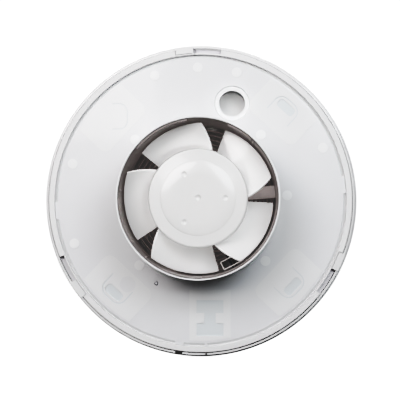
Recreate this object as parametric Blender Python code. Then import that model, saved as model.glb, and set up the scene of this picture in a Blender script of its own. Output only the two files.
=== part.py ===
"""Round axial exhaust fan with a duct spigot at the back and a closed front cover.

Everything stands under an empty whose z axis is the fan's own axis, pointing out of the duct
spigot. A depth in this file is a height on that axis: 0 is the wall plane, more is in the duct and
less is in the room. Angles run anticlockwise as seen from the duct, starting at the right.
Lengths are in metres and angles in degrees.
"""

import math

import bmesh
import bpy
from mathutils import Matrix, Vector

# Clearances
FIT = 0.0003                    # between pieces that seat on each other
SINK = 0.0004                   # how far a joined form reaches into its neighbour
OVERCUT = 0.001                 # how far a cutter reaches past what it cuts

# Back plate and duct spigot
SPIGOT_DIAMETER = 0.099         # fits a 100 mm duct
SPIGOT_WALL = 0.001
SPIGOT_LENGTH = 0.035
SPIGOT_CHAMFER = 0.0002
SPIGOT_FILLET = 0.0016
PLATE_BORDER = 0.0395           # from the spigot to the plate's edge
PLATE_THICKNESS = 0.002
PLATE_SETBACK = 0.0008          # of the plate's rear face from the wall plane
PLATE_EDGE = 0.0004

# Fixing pads moulded on the plate, each with a cut tongue and a thin window
PAD_COUNT = 4
PAD_FIRST_ANGLE = 47
PAD_OFFSET = 0.0132             # from the spigot to a pad's straight edge
PAD_WIDTH = 0.0388
PAD_CORNER = 0.005
PAD_RISE = 0.0004
TONGUE_INSET = 0.0081           # from the pad's straight edge to the tongue's root
TONGUE_LENGTH = 0.0132
TONGUE_WIDTH = 0.0176
TONGUE_CORNER = 0.006
TONGUE_GROOVE = 0.0007
GROOVE_DEPTH = 0.0006
WINDOW_INSET = 0.0135           # from the pad's straight edge to the window
WINDOW_LENGTH = 0.0123
WINDOW_WIDTH = 0.0056
WINDOW_CORNER = 0.002
WINDOW_DEPTH = 0.0007

# Bottom strip of the plate, with a window shaped like a dumb-bell
STRIP_CENTRE = 0.0062
STRIP_WIDTH = 0.0257
STRIP_OFFSET = 0.0066           # from the spigot to the strip's end
DUMBBELL_OFFSET = 0.0131        # from the spigot to the dumb-bell
DUMBBELL_WIDTH = 0.0168
DUMBBELL_BAR = 0.0079
DUMBBELL_STEM_WIDTH = 0.0071
DUMBBELL_STEM_LENGTH = 0.0064

# Cable entry
CABLE_ANGLE = 72.4
CABLE_OFFSET = 0.0144           # from the spigot to the hole's centre
CABLE_HOLE_DIAMETER = 0.016
CABLE_COLLAR_WALL = 0.0024
CABLE_COLLAR_RISE = 0.0005

# Snap tabs on the plate's edge: angle and width of each
SNAP_TABS = ((6, 7), (184.2, 7), (-98.2, 3.5), (-87.7, 1.4))
SNAP_TAB_DEPTH = 0.0016
DRAIN_ANGLES = (1.9, 188.3)
DRAIN_DIAMETER = 0.0013

# Screw whose tip shows on the plate
PLATE_SCREW_ANGLE = -117.6
PLATE_SCREW_OFFSET = 0.0094
SCREW_DIAMETER = 0.0024
SCREW_HEAD_DIAMETER = 0.005
SCREW_HEAD_HEIGHT = 0.0016
SCREW_CROWN_SHARE = 0.75        # of the head's radius that is flat on top
SCREW_RIM_SHARE = 0.6           # of the head's height that is straight
SCREW_TIP_SHARE = 0.3           # of the screw's radius left at its tip

# Body ring, floor and collar
GROOVE_WIDTH = 0.0015           # between the plate and the ring
RING_WIDTH = 0.0045
RING_EDGE = 0.0003
FLOOR_THICKNESS = 0.002
COLLAR_WALL = 0.0015
COLLAR_HEIGHT = 0.0058

# Bayonet between the ring and the front cover
BAYONET_COUNT = 3
HOOK_ANGLE = -24
HOOK_SPAN = 6.8
HOOK_THICKNESS = 0.0019
HOOK_REACH = 0.0025             # of a hook over the ring
LEG_THICKNESS = 0.0017
LEG_ROOT = 0.004                # length of a leg along the cover's wall
TWIST_ANGLE = 9
ENTRY_SPAN = 10
STOP_GAP = 0.2

# Front cover
COVER_STANDOFF = 0.0068         # inlet gap between the floor and the cover's rim
COVER_OVERHANG = 0.0034         # of the cover past the body ring
COVER_WALL = 0.0022
COVER_DEPTH = 0.019
COVER_STRAIGHT = 0.0056
COVER_SHOULDER_WIDTH = 0.0104
COVER_SHOULDER_DEPTH = 0.0095
RIM_EDGE = 0.0004
NOTCH_ANGLE = -98
NOTCH_WIDTH = 0.0046
NOTCH_DEPTH = 0.003
MARK_ANGLE = -87.7
MARK_WIDTH = 0.0013
NOTCH_FLARE = 0.15              # of its width, that a notch widens by on each side
DOME_SHARE = 0.5                # of the face's radius at which the dome turns down
DOME_DROP_SHARE = 0.25          # of the dome's height lost by there

# Motor mount: dark bore liner, inlet bell, arms and pod
LINER_WALL = 0.001
LINER_SETBACK = 0.001           # of its end from the spigot's lip
FLANGE_WIDTH = 0.005
FLANGE_THICKNESS = 0.002
BELL_RADIUS = 0.003
EAR_OFFSET = 0.0038             # from the flange's edge to the screw
EAR_WIDTH = 0.0076
EAR_ANGLES = (30, 150, 270)
BOSS_WALL = 0.0018
ARM_ANGLES = (6, 126, 246)
ARM_WIDTH = 0.0058
ARM_DEPTH = 0.0065
ARM_START = 0.0007              # from the flange's rear face to the arm
POD_WALL = 0.0015
POD_RIM_DEPTH = 0.0065
POD_LENGTH = 0.024
POD_EDGE = 0.003

# Inlet guard
GUARD_RING_COUNT = 6            # from the pod out to the bore
GUARD_RING_WIDTH = 0.001
GUARD_THICKNESS = 0.0012
GUARD_SEAT_WIDTH = 0.0026
GUARD_SPOKE_COUNT = 3
GUARD_SPOKE_WIDTH = 0.0012

# Guide for the motor's leads, a short square duct on the bore's wall
GUIDE_ANGLE = -62.5
GUIDE_WIDTH = 0.0142
GUIDE_DEPTH = 0.0068
GUIDE_WALL = 0.0008
GUIDE_LENGTH = 0.0105
LEAD_WINDOW_WIDTH = 0.0062
LEAD_WINDOW_HEIGHT = 0.0032

# Impeller
HUB_RADIUS = 0.030
HUB_WALL = 0.0014
HUB_GAP = 0.0015                # between the pod's rim and the hub's
HUB_CORNER = 0.0016
HUB_SHOULDER_DROP = 0.0044      # from the crown to the start of the corner
HUB_CAP_DROP = 0.0016
CROWN_RADIUS = 0.0227
CROWN_FLAT_RADIUS = 0.0145
CROWN_DOME = 0.0008             # drop of the crown from its flat to its edge
CROWN_STEPS = 3
CROWN_SETBACK = 0.0002
CROWN_THICKNESS = 0.0024
DIMPLE_COUNT = 3
DIMPLE_CIRCLE = 0.0168
DIMPLE_RADIUS = 0.0018
CENTRE_DIMPLE_RADIUS = 0.0021
DIMPLE_DEPTH = 0.0004
BLADE_COUNT = 5
BLADE_FIRST_ANGLE = -2.7
BLADE_TIP_GAP = 0.0013
BLADE_ROOT_SWEEP = 68.5
BLADE_TIP_SWEEP = 53.5
BLADE_START = 0.002             # from the hub's rim to the leading edge
BLADE_HEIGHT = 0.019
BLADE_CAMBER = 0.0022
BLADE_THICKNESS = 0.0016
BLADE_EDGE_SHARE = 0.55         # of the thickness left at the edges

# Motor
SHAFT_DIAMETER = 0.004
BUSH_WALL = 0.0022
BUSH_LENGTH = 0.0048
BRACKET_BOSS_WALL = 0.0015
BRACKET_THICKNESS = 0.0012
BRACKET_WIDTH = 0.012
BRACKET_CLEARANCE = 0.0038      # from the coils to a bracket
BUSH_PROUD = 0.0028             # of a bush past its bracket
HUB_BOSS_GAP = 0.0008           # from the rear bush to the hub's boss
BRACKET_POST_WALL = 0.0011
STATOR_LENGTH = 0.012
STATOR_FRONT = -0.003
STATOR_GAP = 0.002              # between the stator and the pod's wall
YOKE_WIDTH = 0.0044
POLE_COUNT = 4
POLE_WIDTH = 0.009
SHOE_THICKNESS = 0.0025
SHOE_HALF_ANGLE = 34
SHOE_TAPER = 8                  # degrees over which a shoe thins to its tip
ROTOR_RADIUS = 0.0115
ROTOR_OVERLAP = 0.0005          # of the rotor past the stator at each end
END_RING_THICKNESS = 0.002
END_RING_WIDTH = 0.0045
AIR_GAP = 0.0005
BOBBIN_WALL = 0.0007
BOBBIN_FLANGE = 0.0036
COIL_DEPTH = 0.003
COIL_CORNER = 0.0015
MOTOR_SCREW_DIAMETER = 0.0025
MOTOR_SCREW_ANGLES = (45, 225)
WASHER_THICKNESS = 0.0006
WASHER_WIDTH = 0.0018

# Terminal box on the floor, and what it holds
BOX_LENGTH = 0.041
BOX_BREADTH = 0.0246
BOX_WALL = 0.0014
BOX_HEIGHT = 0.0139
BOX_FLANGE_GAP = 0.0008         # between the box and the motor mount's flange
BOX_END = 0.010                 # from the cable hole to the nearer end wall
LID_THICKNESS = 0.0015
LID_CORNER = 0.002
BLOCK_LENGTH = 0.016
BLOCK_BREADTH = 0.015
BLOCK_HEIGHT = 0.0086
BLOCK_CORNER = 0.001
BLOCK_END_GAP = 0.003           # from the block to the end wall that the leads leave by
POLE_PITCH = 0.008
CONTACT_DIAMETER = 0.0042
CONTACT_BORE = 0.0022
CONTACT_INSET = 0.001           # of a contact's ends from the block's
TERMINAL_SCREW_DIAMETER = 0.0024
TERMINAL_SCREW_PITCH = 0.008
TERMINAL_DEPTH = 0.0041         # from the floor to the contacts' axis
LEAD_DIAMETER = 0.0014
LEAD_SPACING = 0.0026
LEAD_TRACK_OFFSET = 0.0106      # from the flange to the inner lead
LEAD_EXIT_RUN = 0.003
LEAD_MERGE_ANGLE = 22
LEAD_BEND_RADIUS = 0.005
LEAD_TRACK_STEPS = 8
LEAD_TAIL = 0.005               # of a lead along its coil

# Facets
ROUND = 48
MEDIUM = 30
SMALL = 12
TINY = 8
CORNER_STEPS = 3
SMOOTH_ANGLE = 35
MERGE = 0.000001
TURN = 360

# What follows from the sizes above
spigot_radius = SPIGOT_DIAMETER / 2
spigot_bore = spigot_radius - SPIGOT_WALL
plate_radius = spigot_radius + PLATE_BORDER
plate_rear = -PLATE_SETBACK
plate_front = plate_rear - PLATE_THICKNESS
pad_inner = spigot_radius + PAD_OFFSET
cable_radius = spigot_radius + CABLE_OFFSET
cable_hole_radius = CABLE_HOLE_DIAMETER / 2

ring_inner = plate_radius + GROOVE_WIDTH
ring_outer = ring_inner + RING_WIDTH
floor_rear = plate_front - FIT
floor_front = floor_rear - FLOOR_THICKNESS
collar_front = floor_front - COLLAR_HEIGHT

liner_outer = spigot_bore - FIT
liner_bore = liner_outer - LINER_WALL
liner_rear = SPIGOT_LENGTH - LINER_SETBACK
collar_inner = liner_outer + 2 * FIT
collar_outer = collar_inner + COLLAR_WALL
flange_rear = collar_front - FIT
flange_front = flange_rear - FLANGE_THICKNESS
flange_radius = liner_outer + FLANGE_WIDTH
ear_circle = flange_radius + EAR_OFFSET
boss_radius = SCREW_DIAMETER / 2 + BOSS_WALL
arm_front = flange_rear - ARM_START
arm_rear = arm_front + ARM_DEPTH
pod_front = POD_RIM_DEPTH - POD_LENGTH
pod_floor = pod_front + POD_WALL
pod_bore = HUB_RADIUS - POD_WALL

hook_rear = -FIT
hook_front = hook_rear - HOOK_THICKNESS
ledge_rear = hook_front - FIT
hook_inner = ring_outer - HOOK_REACH
recess_inner = hook_inner - FIT
leg_inner = ring_outer + FIT
leg_outer = leg_inner + LEG_THICKNESS
entry_angle = HOOK_ANGLE - TWIST_ANGLE
cover_radius = ring_outer + COVER_OVERHANG
cover_bore = cover_radius - COVER_WALL
rim_rear = floor_front - COVER_STANDOFF
cover_front = rim_rear - COVER_DEPTH

hub_rim = POD_RIM_DEPTH + HUB_GAP
crown_rear = SPIGOT_LENGTH - CROWN_SETBACK
crown_front = crown_rear - CROWN_THICKNESS
hub_bore = HUB_RADIUS - HUB_WALL
blade_tip = liner_bore - BLADE_TIP_GAP
blade_front = hub_rim + BLADE_START

shaft_radius = SHAFT_DIAMETER / 2
bush_bore = shaft_radius + FIT
bush_radius = bush_bore + BUSH_WALL
stator_rear = STATOR_FRONT + STATOR_LENGTH
stator_radius = pod_bore - STATOR_GAP
yoke_bore = stator_radius - YOKE_WIDTH
stator_bore = ROTOR_RADIUS + AIR_GAP
motor_screw_circle = stator_radius - YOKE_WIDTH / 2
motor_screw_hole = MOTOR_SCREW_DIAMETER / 2 + FIT
post_radius = motor_screw_hole + BRACKET_POST_WALL
bobbin_half_room = POLE_WIDTH / 2 + FIT
bobbin_inner = stator_bore + SHOE_THICKNESS + FIT
bobbin_outer = math.sqrt((yoke_bore - FIT) ** 2 - (bobbin_half_room + BOBBIN_FLANGE) ** 2)
coil_overhang = BOBBIN_WALL + FIT + COIL_DEPTH
rotor_rear = stator_rear + ROTOR_OVERLAP
rotor_front = STATOR_FRONT - ROTOR_OVERLAP
rear_bracket_front = stator_rear + coil_overhang + BRACKET_CLEARANCE
rear_bracket_rear = rear_bracket_front + BRACKET_THICKNESS
front_bracket_rear = STATOR_FRONT - coil_overhang - BRACKET_CLEARANCE
front_bracket_front = front_bracket_rear - BRACKET_THICKNESS
rear_bush_rear = rear_bracket_rear + BUSH_PROUD
rear_bush_front = rear_bush_rear - BUSH_LENGTH
front_bush_front = front_bracket_front - BUSH_PROUD
front_bush_rear = front_bush_front + BUSH_LENGTH

box_inner = flange_radius + BOX_FLANGE_GAP + BOX_WALL
box_outer = box_inner + BOX_BREADTH
box_near = BOX_END
box_far = box_near - BOX_LENGTH
box_front = floor_front - BOX_HEIGHT
block_far = box_far + BLOCK_END_GAP
block_near = block_far + BLOCK_LENGTH
block_centre = (box_inner + box_outer) / 2
block_front = floor_front - FIT - BLOCK_HEIGHT
contact_level = floor_front - TERMINAL_DEPTH
lead_radius = LEAD_DIAMETER / 2
lead_level = floor_front - FIT - lead_radius
lead_track = flange_radius + LEAD_TRACK_OFFSET
guide_outer = liner_bore - FIT
guide_inner = guide_outer - GUIDE_DEPTH
guide_rear = flange_front + GUIDE_LENGTH
guide_level = (guide_rear + flange_front) / 2


def clear_scene():
    for item in list(bpy.data.objects):
        bpy.data.objects.remove(item, do_unlink=True)


def make_empty(name, parent=None):
    empty = bpy.data.objects.new(name, None)
    bpy.context.collection.objects.link(empty)
    empty.parent = parent
    return empty


def make_material(name, colour, roughness, metallic=0.0):
    material = bpy.data.materials.new(name)
    material.use_nodes = True
    shader = material.node_tree.nodes["Principled BSDF"]
    shader.inputs["Base Color"].default_value = (*colour, 1.0)
    shader.inputs["Roughness"].default_value = roughness
    shader.inputs["Metallic"].default_value = metallic
    return material


def turned_about(angle):
    return Matrix.Rotation(math.radians(angle), 4, "Z")


def polar(radius, angle, level=0.0):
    turn = math.radians(angle)
    return Vector((radius * math.cos(turn), radius * math.sin(turn), level))


def arc(centre, radius, start, end, steps=CORNER_STEPS):
    """Points of an arc about a centre, both ends included."""
    points = []
    for step in range(steps + 1):
        turn = math.radians(start + (end - start) * step / steps)
        points.append((centre[0] + radius * math.cos(turn), centre[1] + radius * math.sin(turn)))
    return points


def rectangle(low_x, high_x, low_y, high_y, corner=0.0, steps=CORNER_STEPS):
    """Outline of a rectangle, anticlockwise, with round corners where a radius is given."""
    if corner == 0.0:
        return [(low_x, low_y), (high_x, low_y), (high_x, high_y), (low_x, high_y)]
    outline = arc((low_x + corner, low_y + corner), corner, 180, 270, steps)
    outline += arc((high_x - corner, low_y + corner), corner, 270, 360, steps)
    outline += arc((high_x - corner, high_y - corner), corner, 0, 90, steps)
    outline += arc((low_x + corner, high_y - corner), corner, 90, 180, steps)
    return outline


def add_turned(body, outline, segments, start=0.0, sweep=TURN, place=None):
    """Turn an outline of (radius, level) points about z. A part turn is closed by flat ends."""
    turn = math.radians(start)
    verts = []
    for radius, level in outline:
        verts.append(body.verts.new((radius * math.cos(turn), radius * math.sin(turn), level)))
    on_axis = outline[0][0] == 0.0 and outline[-1][0] == 0.0
    pairs = list(zip(verts, verts[1:]))
    if not on_axis:
        pairs.append((verts[-1], verts[0]))
    edges = [body.edges.new(pair) for pair in pairs]
    known = set(body.verts) - set(verts)
    whole = sweep == TURN
    bmesh.ops.spin(body, geom=verts + edges, cent=(0, 0, 0), axis=(0, 0, 1),
                   angle=math.radians(sweep), steps=segments, use_merge=whole)
    made = [vert for vert in body.verts if vert not in known]
    if not whole:
        rim = {edge for vert in made for edge in vert.link_edges if edge.is_boundary}
        bmesh.ops.holes_fill(body, edges=list(rim), sides=0)
    bmesh.ops.remove_doubles(body, verts=made, dist=MERGE)
    made = [vert for vert in body.verts if vert not in known]
    if place is not None:
        bmesh.ops.transform(body, matrix=place, verts=made)


def add_prism(body, outline, low, high, place=None):
    """Raise an outline of (x, y) points from one level to another."""
    verts = [body.verts.new((x, y, low)) for x, y in outline]
    face = body.faces.new(verts)
    raised = bmesh.ops.extrude_face_region(body, geom=[face])["geom"]
    top = [item for item in raised if isinstance(item, bmesh.types.BMVert)]
    bmesh.ops.translate(body, vec=(0, 0, high - low), verts=top)
    if place is not None:
        bmesh.ops.transform(body, matrix=place, verts=verts + top)


def add_cylinder(body, centre, radius, low, high, segments=SMALL):
    add_prism(body, arc(centre, radius, 0, TURN * (segments - 1) / segments, segments - 1), low, high)


def add_sector(body, inner, outer, low, high, centre_angle, span, steps=2):
    """A block between two radii, over a span of angle."""
    outline = [(inner, low), (outer, low), (outer, high), (inner, high)]
    add_turned(body, outline, steps, centre_angle - span / 2, span)


def finish_mesh(name, body):
    bmesh.ops.recalc_face_normals(body, faces=body.faces)
    mesh = bpy.data.meshes.new(name)
    body.to_mesh(mesh)
    body.free()
    return mesh


def make_part(name, body, material, parent):
    mesh = finish_mesh(name, body)
    mesh.materials.append(material)
    mesh.shade_smooth()
    mesh.set_sharp_from_angle(angle=math.radians(SMOOTH_ANGLE))
    part = bpy.data.objects.new(name, mesh)
    bpy.context.collection.objects.link(part)
    part.parent = parent
    return part


def make_cutter(name, body, parent):
    """A hidden body that only shapes other pieces."""
    cutter = bpy.data.objects.new(name, finish_mesh(name, body))
    bpy.context.collection.objects.link(cutter)
    cutter.parent = parent
    cutter.hide_render = True
    cutter.display_type = "WIRE"
    return cutter


def combine(part, cutter, operation):
    modifier = part.modifiers.new(cutter.name, "BOOLEAN")
    modifier.operation = operation
    modifier.object = cutter


def cut(part, cutter):
    combine(part, cutter, "DIFFERENCE")


def unite(part, cutter):
    combine(part, cutter, "UNION")


def pad_outline(half_width, inner, outer, corner):
    """Outline of a pad: a straight inner edge with round corners, and an outer edge on a circle."""
    reach = math.degrees(math.asin(half_width / outer))
    outline = arc((inner + corner, -half_width + corner), corner, 180, 270)
    outline += arc((0, 0), outer, -reach, reach, 5)
    outline += arc((inner + corner, half_width - corner), corner, 90, 180)
    return outline


def tongue_outline():
    """A U of constant width, open towards the duct."""
    root = pad_inner + TONGUE_INSET
    end = root + TONGUE_LENGTH
    half = TONGUE_WIDTH / 2
    inside = TONGUE_CORNER - TONGUE_GROOVE
    outline = [(root, -half)]
    outline += arc((end - TONGUE_CORNER, -half + TONGUE_CORNER), TONGUE_CORNER, -90, 0)
    outline += arc((end - TONGUE_CORNER, half - TONGUE_CORNER), TONGUE_CORNER, 0, 90)
    outline += [(root, half), (root, half - TONGUE_GROOVE)]
    outline += arc((end - TONGUE_CORNER, half - TONGUE_CORNER), inside, 90, 0)
    outline += arc((end - TONGUE_CORNER, -half + TONGUE_CORNER), inside, 0, -90)
    outline += [(root, -half + TONGUE_GROOVE)]
    return outline


def dumbbell_outline():
    top = -spigot_radius - DUMBBELL_OFFSET
    upper = top - DUMBBELL_BAR
    lower = upper - DUMBBELL_STEM_LENGTH
    bottom = lower - DUMBBELL_BAR
    half = DUMBBELL_WIDTH / 2
    stem = DUMBBELL_STEM_WIDTH / 2
    right = [(half, bottom), (half, lower), (stem, lower), (stem, upper), (half, upper), (half, top)]
    left = [(-x, y) for x, y in reversed(right)]
    return [(STRIP_CENTRE + x, y) for x, y in right + left]


def make_back_plate(axis, material):
    """Plate and spigot in one moulding, with pads, cable collar and snap tabs."""
    outline = [
        (spigot_bore, plate_front),
        (spigot_bore, SPIGOT_LENGTH - SPIGOT_CHAMFER),
        (spigot_bore + SPIGOT_CHAMFER, SPIGOT_LENGTH),
        (spigot_radius - SPIGOT_CHAMFER, SPIGOT_LENGTH),
        (spigot_radius, SPIGOT_LENGTH - SPIGOT_CHAMFER),
        *arc((spigot_radius + SPIGOT_FILLET, plate_rear + SPIGOT_FILLET), SPIGOT_FILLET, 180, 270),
        (plate_radius - PLATE_EDGE, plate_rear),
        (plate_radius, plate_rear - PLATE_EDGE),
        (plate_radius, plate_front),
    ]
    body = bmesh.new()
    add_turned(body, outline, ROUND)
    plate = make_part("back_plate", body, material, axis)

    pad_rear = plate_rear + PAD_RISE
    pad_root = plate_rear - SINK
    pad_outer = plate_radius - 2 * PLATE_EDGE
    raised = bmesh.new()
    for number in range(PAD_COUNT):
        angle = PAD_FIRST_ANGLE + number * TURN / PAD_COUNT
        outline = pad_outline(PAD_WIDTH / 2, pad_inner, pad_outer, PAD_CORNER)
        add_prism(raised, outline, pad_root, pad_rear, turned_about(angle))
    strip_start = spigot_radius + STRIP_OFFSET
    strip_end = math.sqrt(pad_outer**2 - (STRIP_CENTRE + STRIP_WIDTH / 2) ** 2)
    strip = rectangle(STRIP_CENTRE - STRIP_WIDTH / 2, STRIP_CENTRE + STRIP_WIDTH / 2,
                      -strip_end, -strip_start)
    add_prism(raised, strip, pad_root, pad_rear)
    unite(plate, make_cutter("plate_pads", raised, axis))

    collar = bmesh.new()
    hole = polar(cable_radius, CABLE_ANGLE)
    add_cylinder(collar, hole, cable_hole_radius + CABLE_COLLAR_WALL, pad_root,
                 plate_rear + CABLE_COLLAR_RISE, 2 * SMALL)
    unite(plate, make_cutter("plate_collar", collar, axis))

    tabs = bmesh.new()
    for angle, span in SNAP_TABS:
        add_sector(tabs, plate_radius - SINK * 2, ring_inner - 2 * FIT, plate_front,
                   plate_front + SNAP_TAB_DEPTH, angle, span)
    unite(plate, make_cutter("plate_tabs", tabs, axis))

    holes = bmesh.new()
    add_cylinder(holes, hole, cable_hole_radius, plate_front - OVERCUT, OVERCUT, 2 * SMALL)
    screw = polar(spigot_radius + PLATE_SCREW_OFFSET, PLATE_SCREW_ANGLE)
    add_cylinder(holes, screw, SCREW_DIAMETER / 2 + FIT, plate_front - OVERCUT, OVERCUT)
    groove_floor = pad_rear - GROOVE_DEPTH
    for number in range(PAD_COUNT):
        place = turned_about(PAD_FIRST_ANGLE + number * TURN / PAD_COUNT)
        add_prism(holes, tongue_outline(), groove_floor, OVERCUT, place)
        window = pad_inner + WINDOW_INSET
        outline = rectangle(window, window + WINDOW_WIDTH, -WINDOW_LENGTH / 2, WINDOW_LENGTH / 2,
                            WINDOW_CORNER)
        add_prism(holes, outline, pad_rear - WINDOW_DEPTH, OVERCUT, place)
    add_prism(holes, dumbbell_outline(), pad_rear - WINDOW_DEPTH, OVERCUT)
    cut(plate, make_cutter("plate_holes", holes, axis))


def make_chassis(axis, material, lead_window):
    """Body ring, floor, collar and terminal box, with the bayonet's slots in the ring."""
    outline = [
        (collar_inner, collar_front),
        (collar_outer, collar_front),
        (collar_outer, floor_front),
        (ring_outer - RING_EDGE, floor_front),
        (ring_outer, floor_front + RING_EDGE),
        (ring_outer, -RING_EDGE),
        (ring_outer - RING_EDGE, 0),
        (ring_inner + RING_EDGE, 0),
        (ring_inner, -RING_EDGE),
        (ring_inner, floor_rear),
        (collar_inner, floor_rear),
    ]
    body = bmesh.new()
    add_turned(body, outline, ROUND)
    chassis = make_part("chassis", body, material, axis)

    bosses = bmesh.new()
    for angle in EAR_ANGLES:
        add_cylinder(bosses, polar(ear_circle, angle), boss_radius, flange_rear + FIT,
                     floor_front + SINK)
    plate_screw = polar(spigot_radius + PLATE_SCREW_OFFSET, PLATE_SCREW_ANGLE)
    add_cylinder(bosses, plate_screw, boss_radius, floor_front - SCREW_HEAD_HEIGHT,
                 floor_front + SINK)
    unite(chassis, make_cutter("chassis_bosses", bosses, axis))

    place = turned_about(CABLE_ANGLE)
    walls = bmesh.new()
    outline = rectangle(box_inner - BOX_WALL, box_outer + BOX_WALL, box_far - BOX_WALL,
                        box_near + BOX_WALL, LID_CORNER)
    add_prism(walls, outline, box_front, floor_front + SINK, place)
    unite(chassis, make_cutter("box_walls", walls, axis))
    room = bmesh.new()
    add_prism(room, rectangle(box_inner, box_outer, box_far, box_near), box_front - OVERCUT,
              floor_front, place)
    cut(chassis, make_cutter("box_room", room, axis))
    post = bmesh.new()
    add_cylinder(post, lid_screw_place(), boss_radius, box_front, floor_front + SINK)
    unite(chassis, make_cutter("box_post", post, axis))

    holes = bmesh.new()
    add_cylinder(holes, polar(cable_radius, CABLE_ANGLE), cable_hole_radius,
                 floor_front - OVERCUT, floor_rear + OVERCUT, 2 * SMALL)
    add_cylinder(holes, plate_screw, SCREW_DIAMETER / 2 + FIT,
                 floor_front - SCREW_HEAD_HEIGHT - OVERCUT, floor_rear + OVERCUT)
    for angle in EAR_ANGLES:
        add_cylinder(holes, polar(ear_circle, angle), SCREW_DIAMETER / 2 + FIT,
                     collar_front - OVERCUT, floor_front - FIT)
    add_cylinder(holes, lid_screw_place(), SCREW_DIAMETER / 2 + FIT, box_front - OVERCUT,
                 floor_front - FIT)
    for angle in DRAIN_ANGLES:
        add_cylinder(holes, polar(plate_radius + GROOVE_WIDTH / 2, angle), DRAIN_DIAMETER / 2,
                     floor_front - OVERCUT, floor_rear + OVERCUT, 8)
    cut(chassis, make_cutter("chassis_holes", holes, axis))
    cut(chassis, make_cutter("box_lead_holes", lead_hole_bars(), axis))

    recess = bmesh.new()
    entry = bmesh.new()
    stop_side = HOOK_ANGLE + HOOK_SPAN / 2 + STOP_GAP
    entry_side = entry_angle - ENTRY_SPAN / 2
    for number in range(BAYONET_COUNT):
        turn = number * TURN / BAYONET_COUNT
        add_sector(recess, recess_inner, ring_outer + OVERCUT, ledge_rear, OVERCUT,
                   (stop_side + entry_side) / 2 + turn, stop_side - entry_side, 4)
        add_sector(entry, recess_inner, ring_outer + OVERCUT, floor_front - OVERCUT,
                   OVERCUT, entry_angle + turn, ENTRY_SPAN)
    cut(chassis, make_cutter("bayonet_recess", recess, axis))
    cut(chassis, make_cutter("bayonet_entry", entry, axis))
    cut(chassis, lead_window)


def lid_screw_place():
    """Centre of the lid's screw, in the corner of the box past the cable hole."""
    x = box_outer - boss_radius
    y = box_near - boss_radius
    return turned_about(CABLE_ANGLE) @ Vector((x, y, 0))


def contact_rows():
    """Distance from the fan's axis of each contact, along the cable hole's radius."""
    return (block_centre - POLE_PITCH / 2, block_centre + POLE_PITCH / 2)


def add_bar_along_box(body, row, level, radius, start, end, segments=TINY):
    """A round bar that lies along the terminal box."""
    lie = Matrix.Translation((row, 0, level)) @ Matrix.Rotation(math.radians(-90), 4, "X")
    outline = arc((0, 0), radius, 0, TURN * (segments - 1) / segments, segments - 1)
    add_prism(body, outline, start, end, turned_about(CABLE_ANGLE) @ lie)


def lead_hole_bars():
    """Cutter for the holes by which the leads leave the terminal box."""
    bars = bmesh.new()
    for row in contact_rows():
        add_bar_along_box(bars, row, contact_level, lead_radius + 2 * FIT,
                          box_far - BOX_WALL - OVERCUT, box_far + OVERCUT)
    return bars


def make_lead_window(axis):
    """Cutter for the opening that lets the leads cross the collar, the liner and the pod's wall."""
    body = bmesh.new()
    outline = rectangle(pod_bore - OVERCUT, collar_outer + OVERCUT, -LEAD_WINDOW_WIDTH / 2,
                        LEAD_WINDOW_WIDTH / 2)
    add_prism(body, outline, guide_level - LEAD_WINDOW_HEIGHT / 2,
              guide_level + LEAD_WINDOW_HEIGHT / 2, turned_about(GUIDE_ANGLE))
    return make_cutter("lead_window", body, axis)


def make_motor_mount(axis, material, lead_window):
    """Bore liner with a bell at its inlet, and three arms that carry the motor's pod."""
    outline = [
        (liner_bore, liner_rear - SPIGOT_CHAMFER),
        (liner_bore + SPIGOT_CHAMFER, liner_rear),
        (liner_outer, liner_rear),
        (liner_outer, flange_rear),
        (flange_radius, flange_rear),
        (flange_radius, flange_front),
        *arc((liner_bore + BELL_RADIUS, flange_front + BELL_RADIUS), BELL_RADIUS, 270, 180),
    ]
    body = bmesh.new()
    add_turned(body, outline, ROUND)
    mount = make_part("motor_mount", body, material, axis)

    pod = bmesh.new()
    pod_outline = [
        (0, pod_front),
        *arc((HUB_RADIUS - POD_EDGE, pod_front + POD_EDGE), POD_EDGE, 270, 360, 2),
        (HUB_RADIUS, POD_RIM_DEPTH),
        (pod_bore, POD_RIM_DEPTH),
        (pod_bore, pod_floor + POD_WALL),
        (pod_bore - POD_WALL, pod_floor),
        (0, pod_floor),
    ]
    add_turned(pod, pod_outline, MEDIUM)
    unite(mount, make_cutter("pod", pod, axis))

    arms = bmesh.new()
    for angle in ARM_ANGLES:
        outline = rectangle(HUB_RADIUS - POD_WALL / 2, liner_bore + LINER_WALL / 2,
                            -ARM_WIDTH / 2, ARM_WIDTH / 2)
        add_prism(arms, outline, arm_front, arm_rear, turned_about(angle))
    unite(mount, make_cutter("mount_arms", arms, axis))

    ears = bmesh.new()
    for angle in EAR_ANGLES:
        outline = [(flange_radius - FLANGE_WIDTH / 2, -EAR_WIDTH / 2), (ear_circle, -EAR_WIDTH / 2)]
        outline += arc((ear_circle, 0), EAR_WIDTH / 2, -60, 60, 4)
        outline += [(ear_circle, EAR_WIDTH / 2), (flange_radius - FLANGE_WIDTH / 2, EAR_WIDTH / 2)]
        add_prism(ears, outline, flange_front + SINK, flange_rear - SINK, turned_about(angle))
    unite(mount, make_cutter("mount_ears", ears, axis))

    posts = bmesh.new()
    for angle in MOTOR_SCREW_ANGLES:
        add_cylinder(posts, polar(motor_screw_circle, angle), post_radius, pod_floor - SINK,
                     front_bracket_front - FIT)
    unite(mount, make_cutter("pod_posts", posts, axis))

    holes = bmesh.new()
    for angle in EAR_ANGLES:
        add_cylinder(holes, polar(ear_circle, angle), SCREW_DIAMETER / 2 + FIT,
                     flange_front - OVERCUT, flange_rear + OVERCUT)
    for angle in MOTOR_SCREW_ANGLES:
        add_cylinder(holes, polar(motor_screw_circle, angle), motor_screw_hole,
                     pod_floor + FIT, front_bracket_front + OVERCUT)
    cut(mount, make_cutter("mount_holes", holes, axis))
    cut(mount, lead_window)


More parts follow.
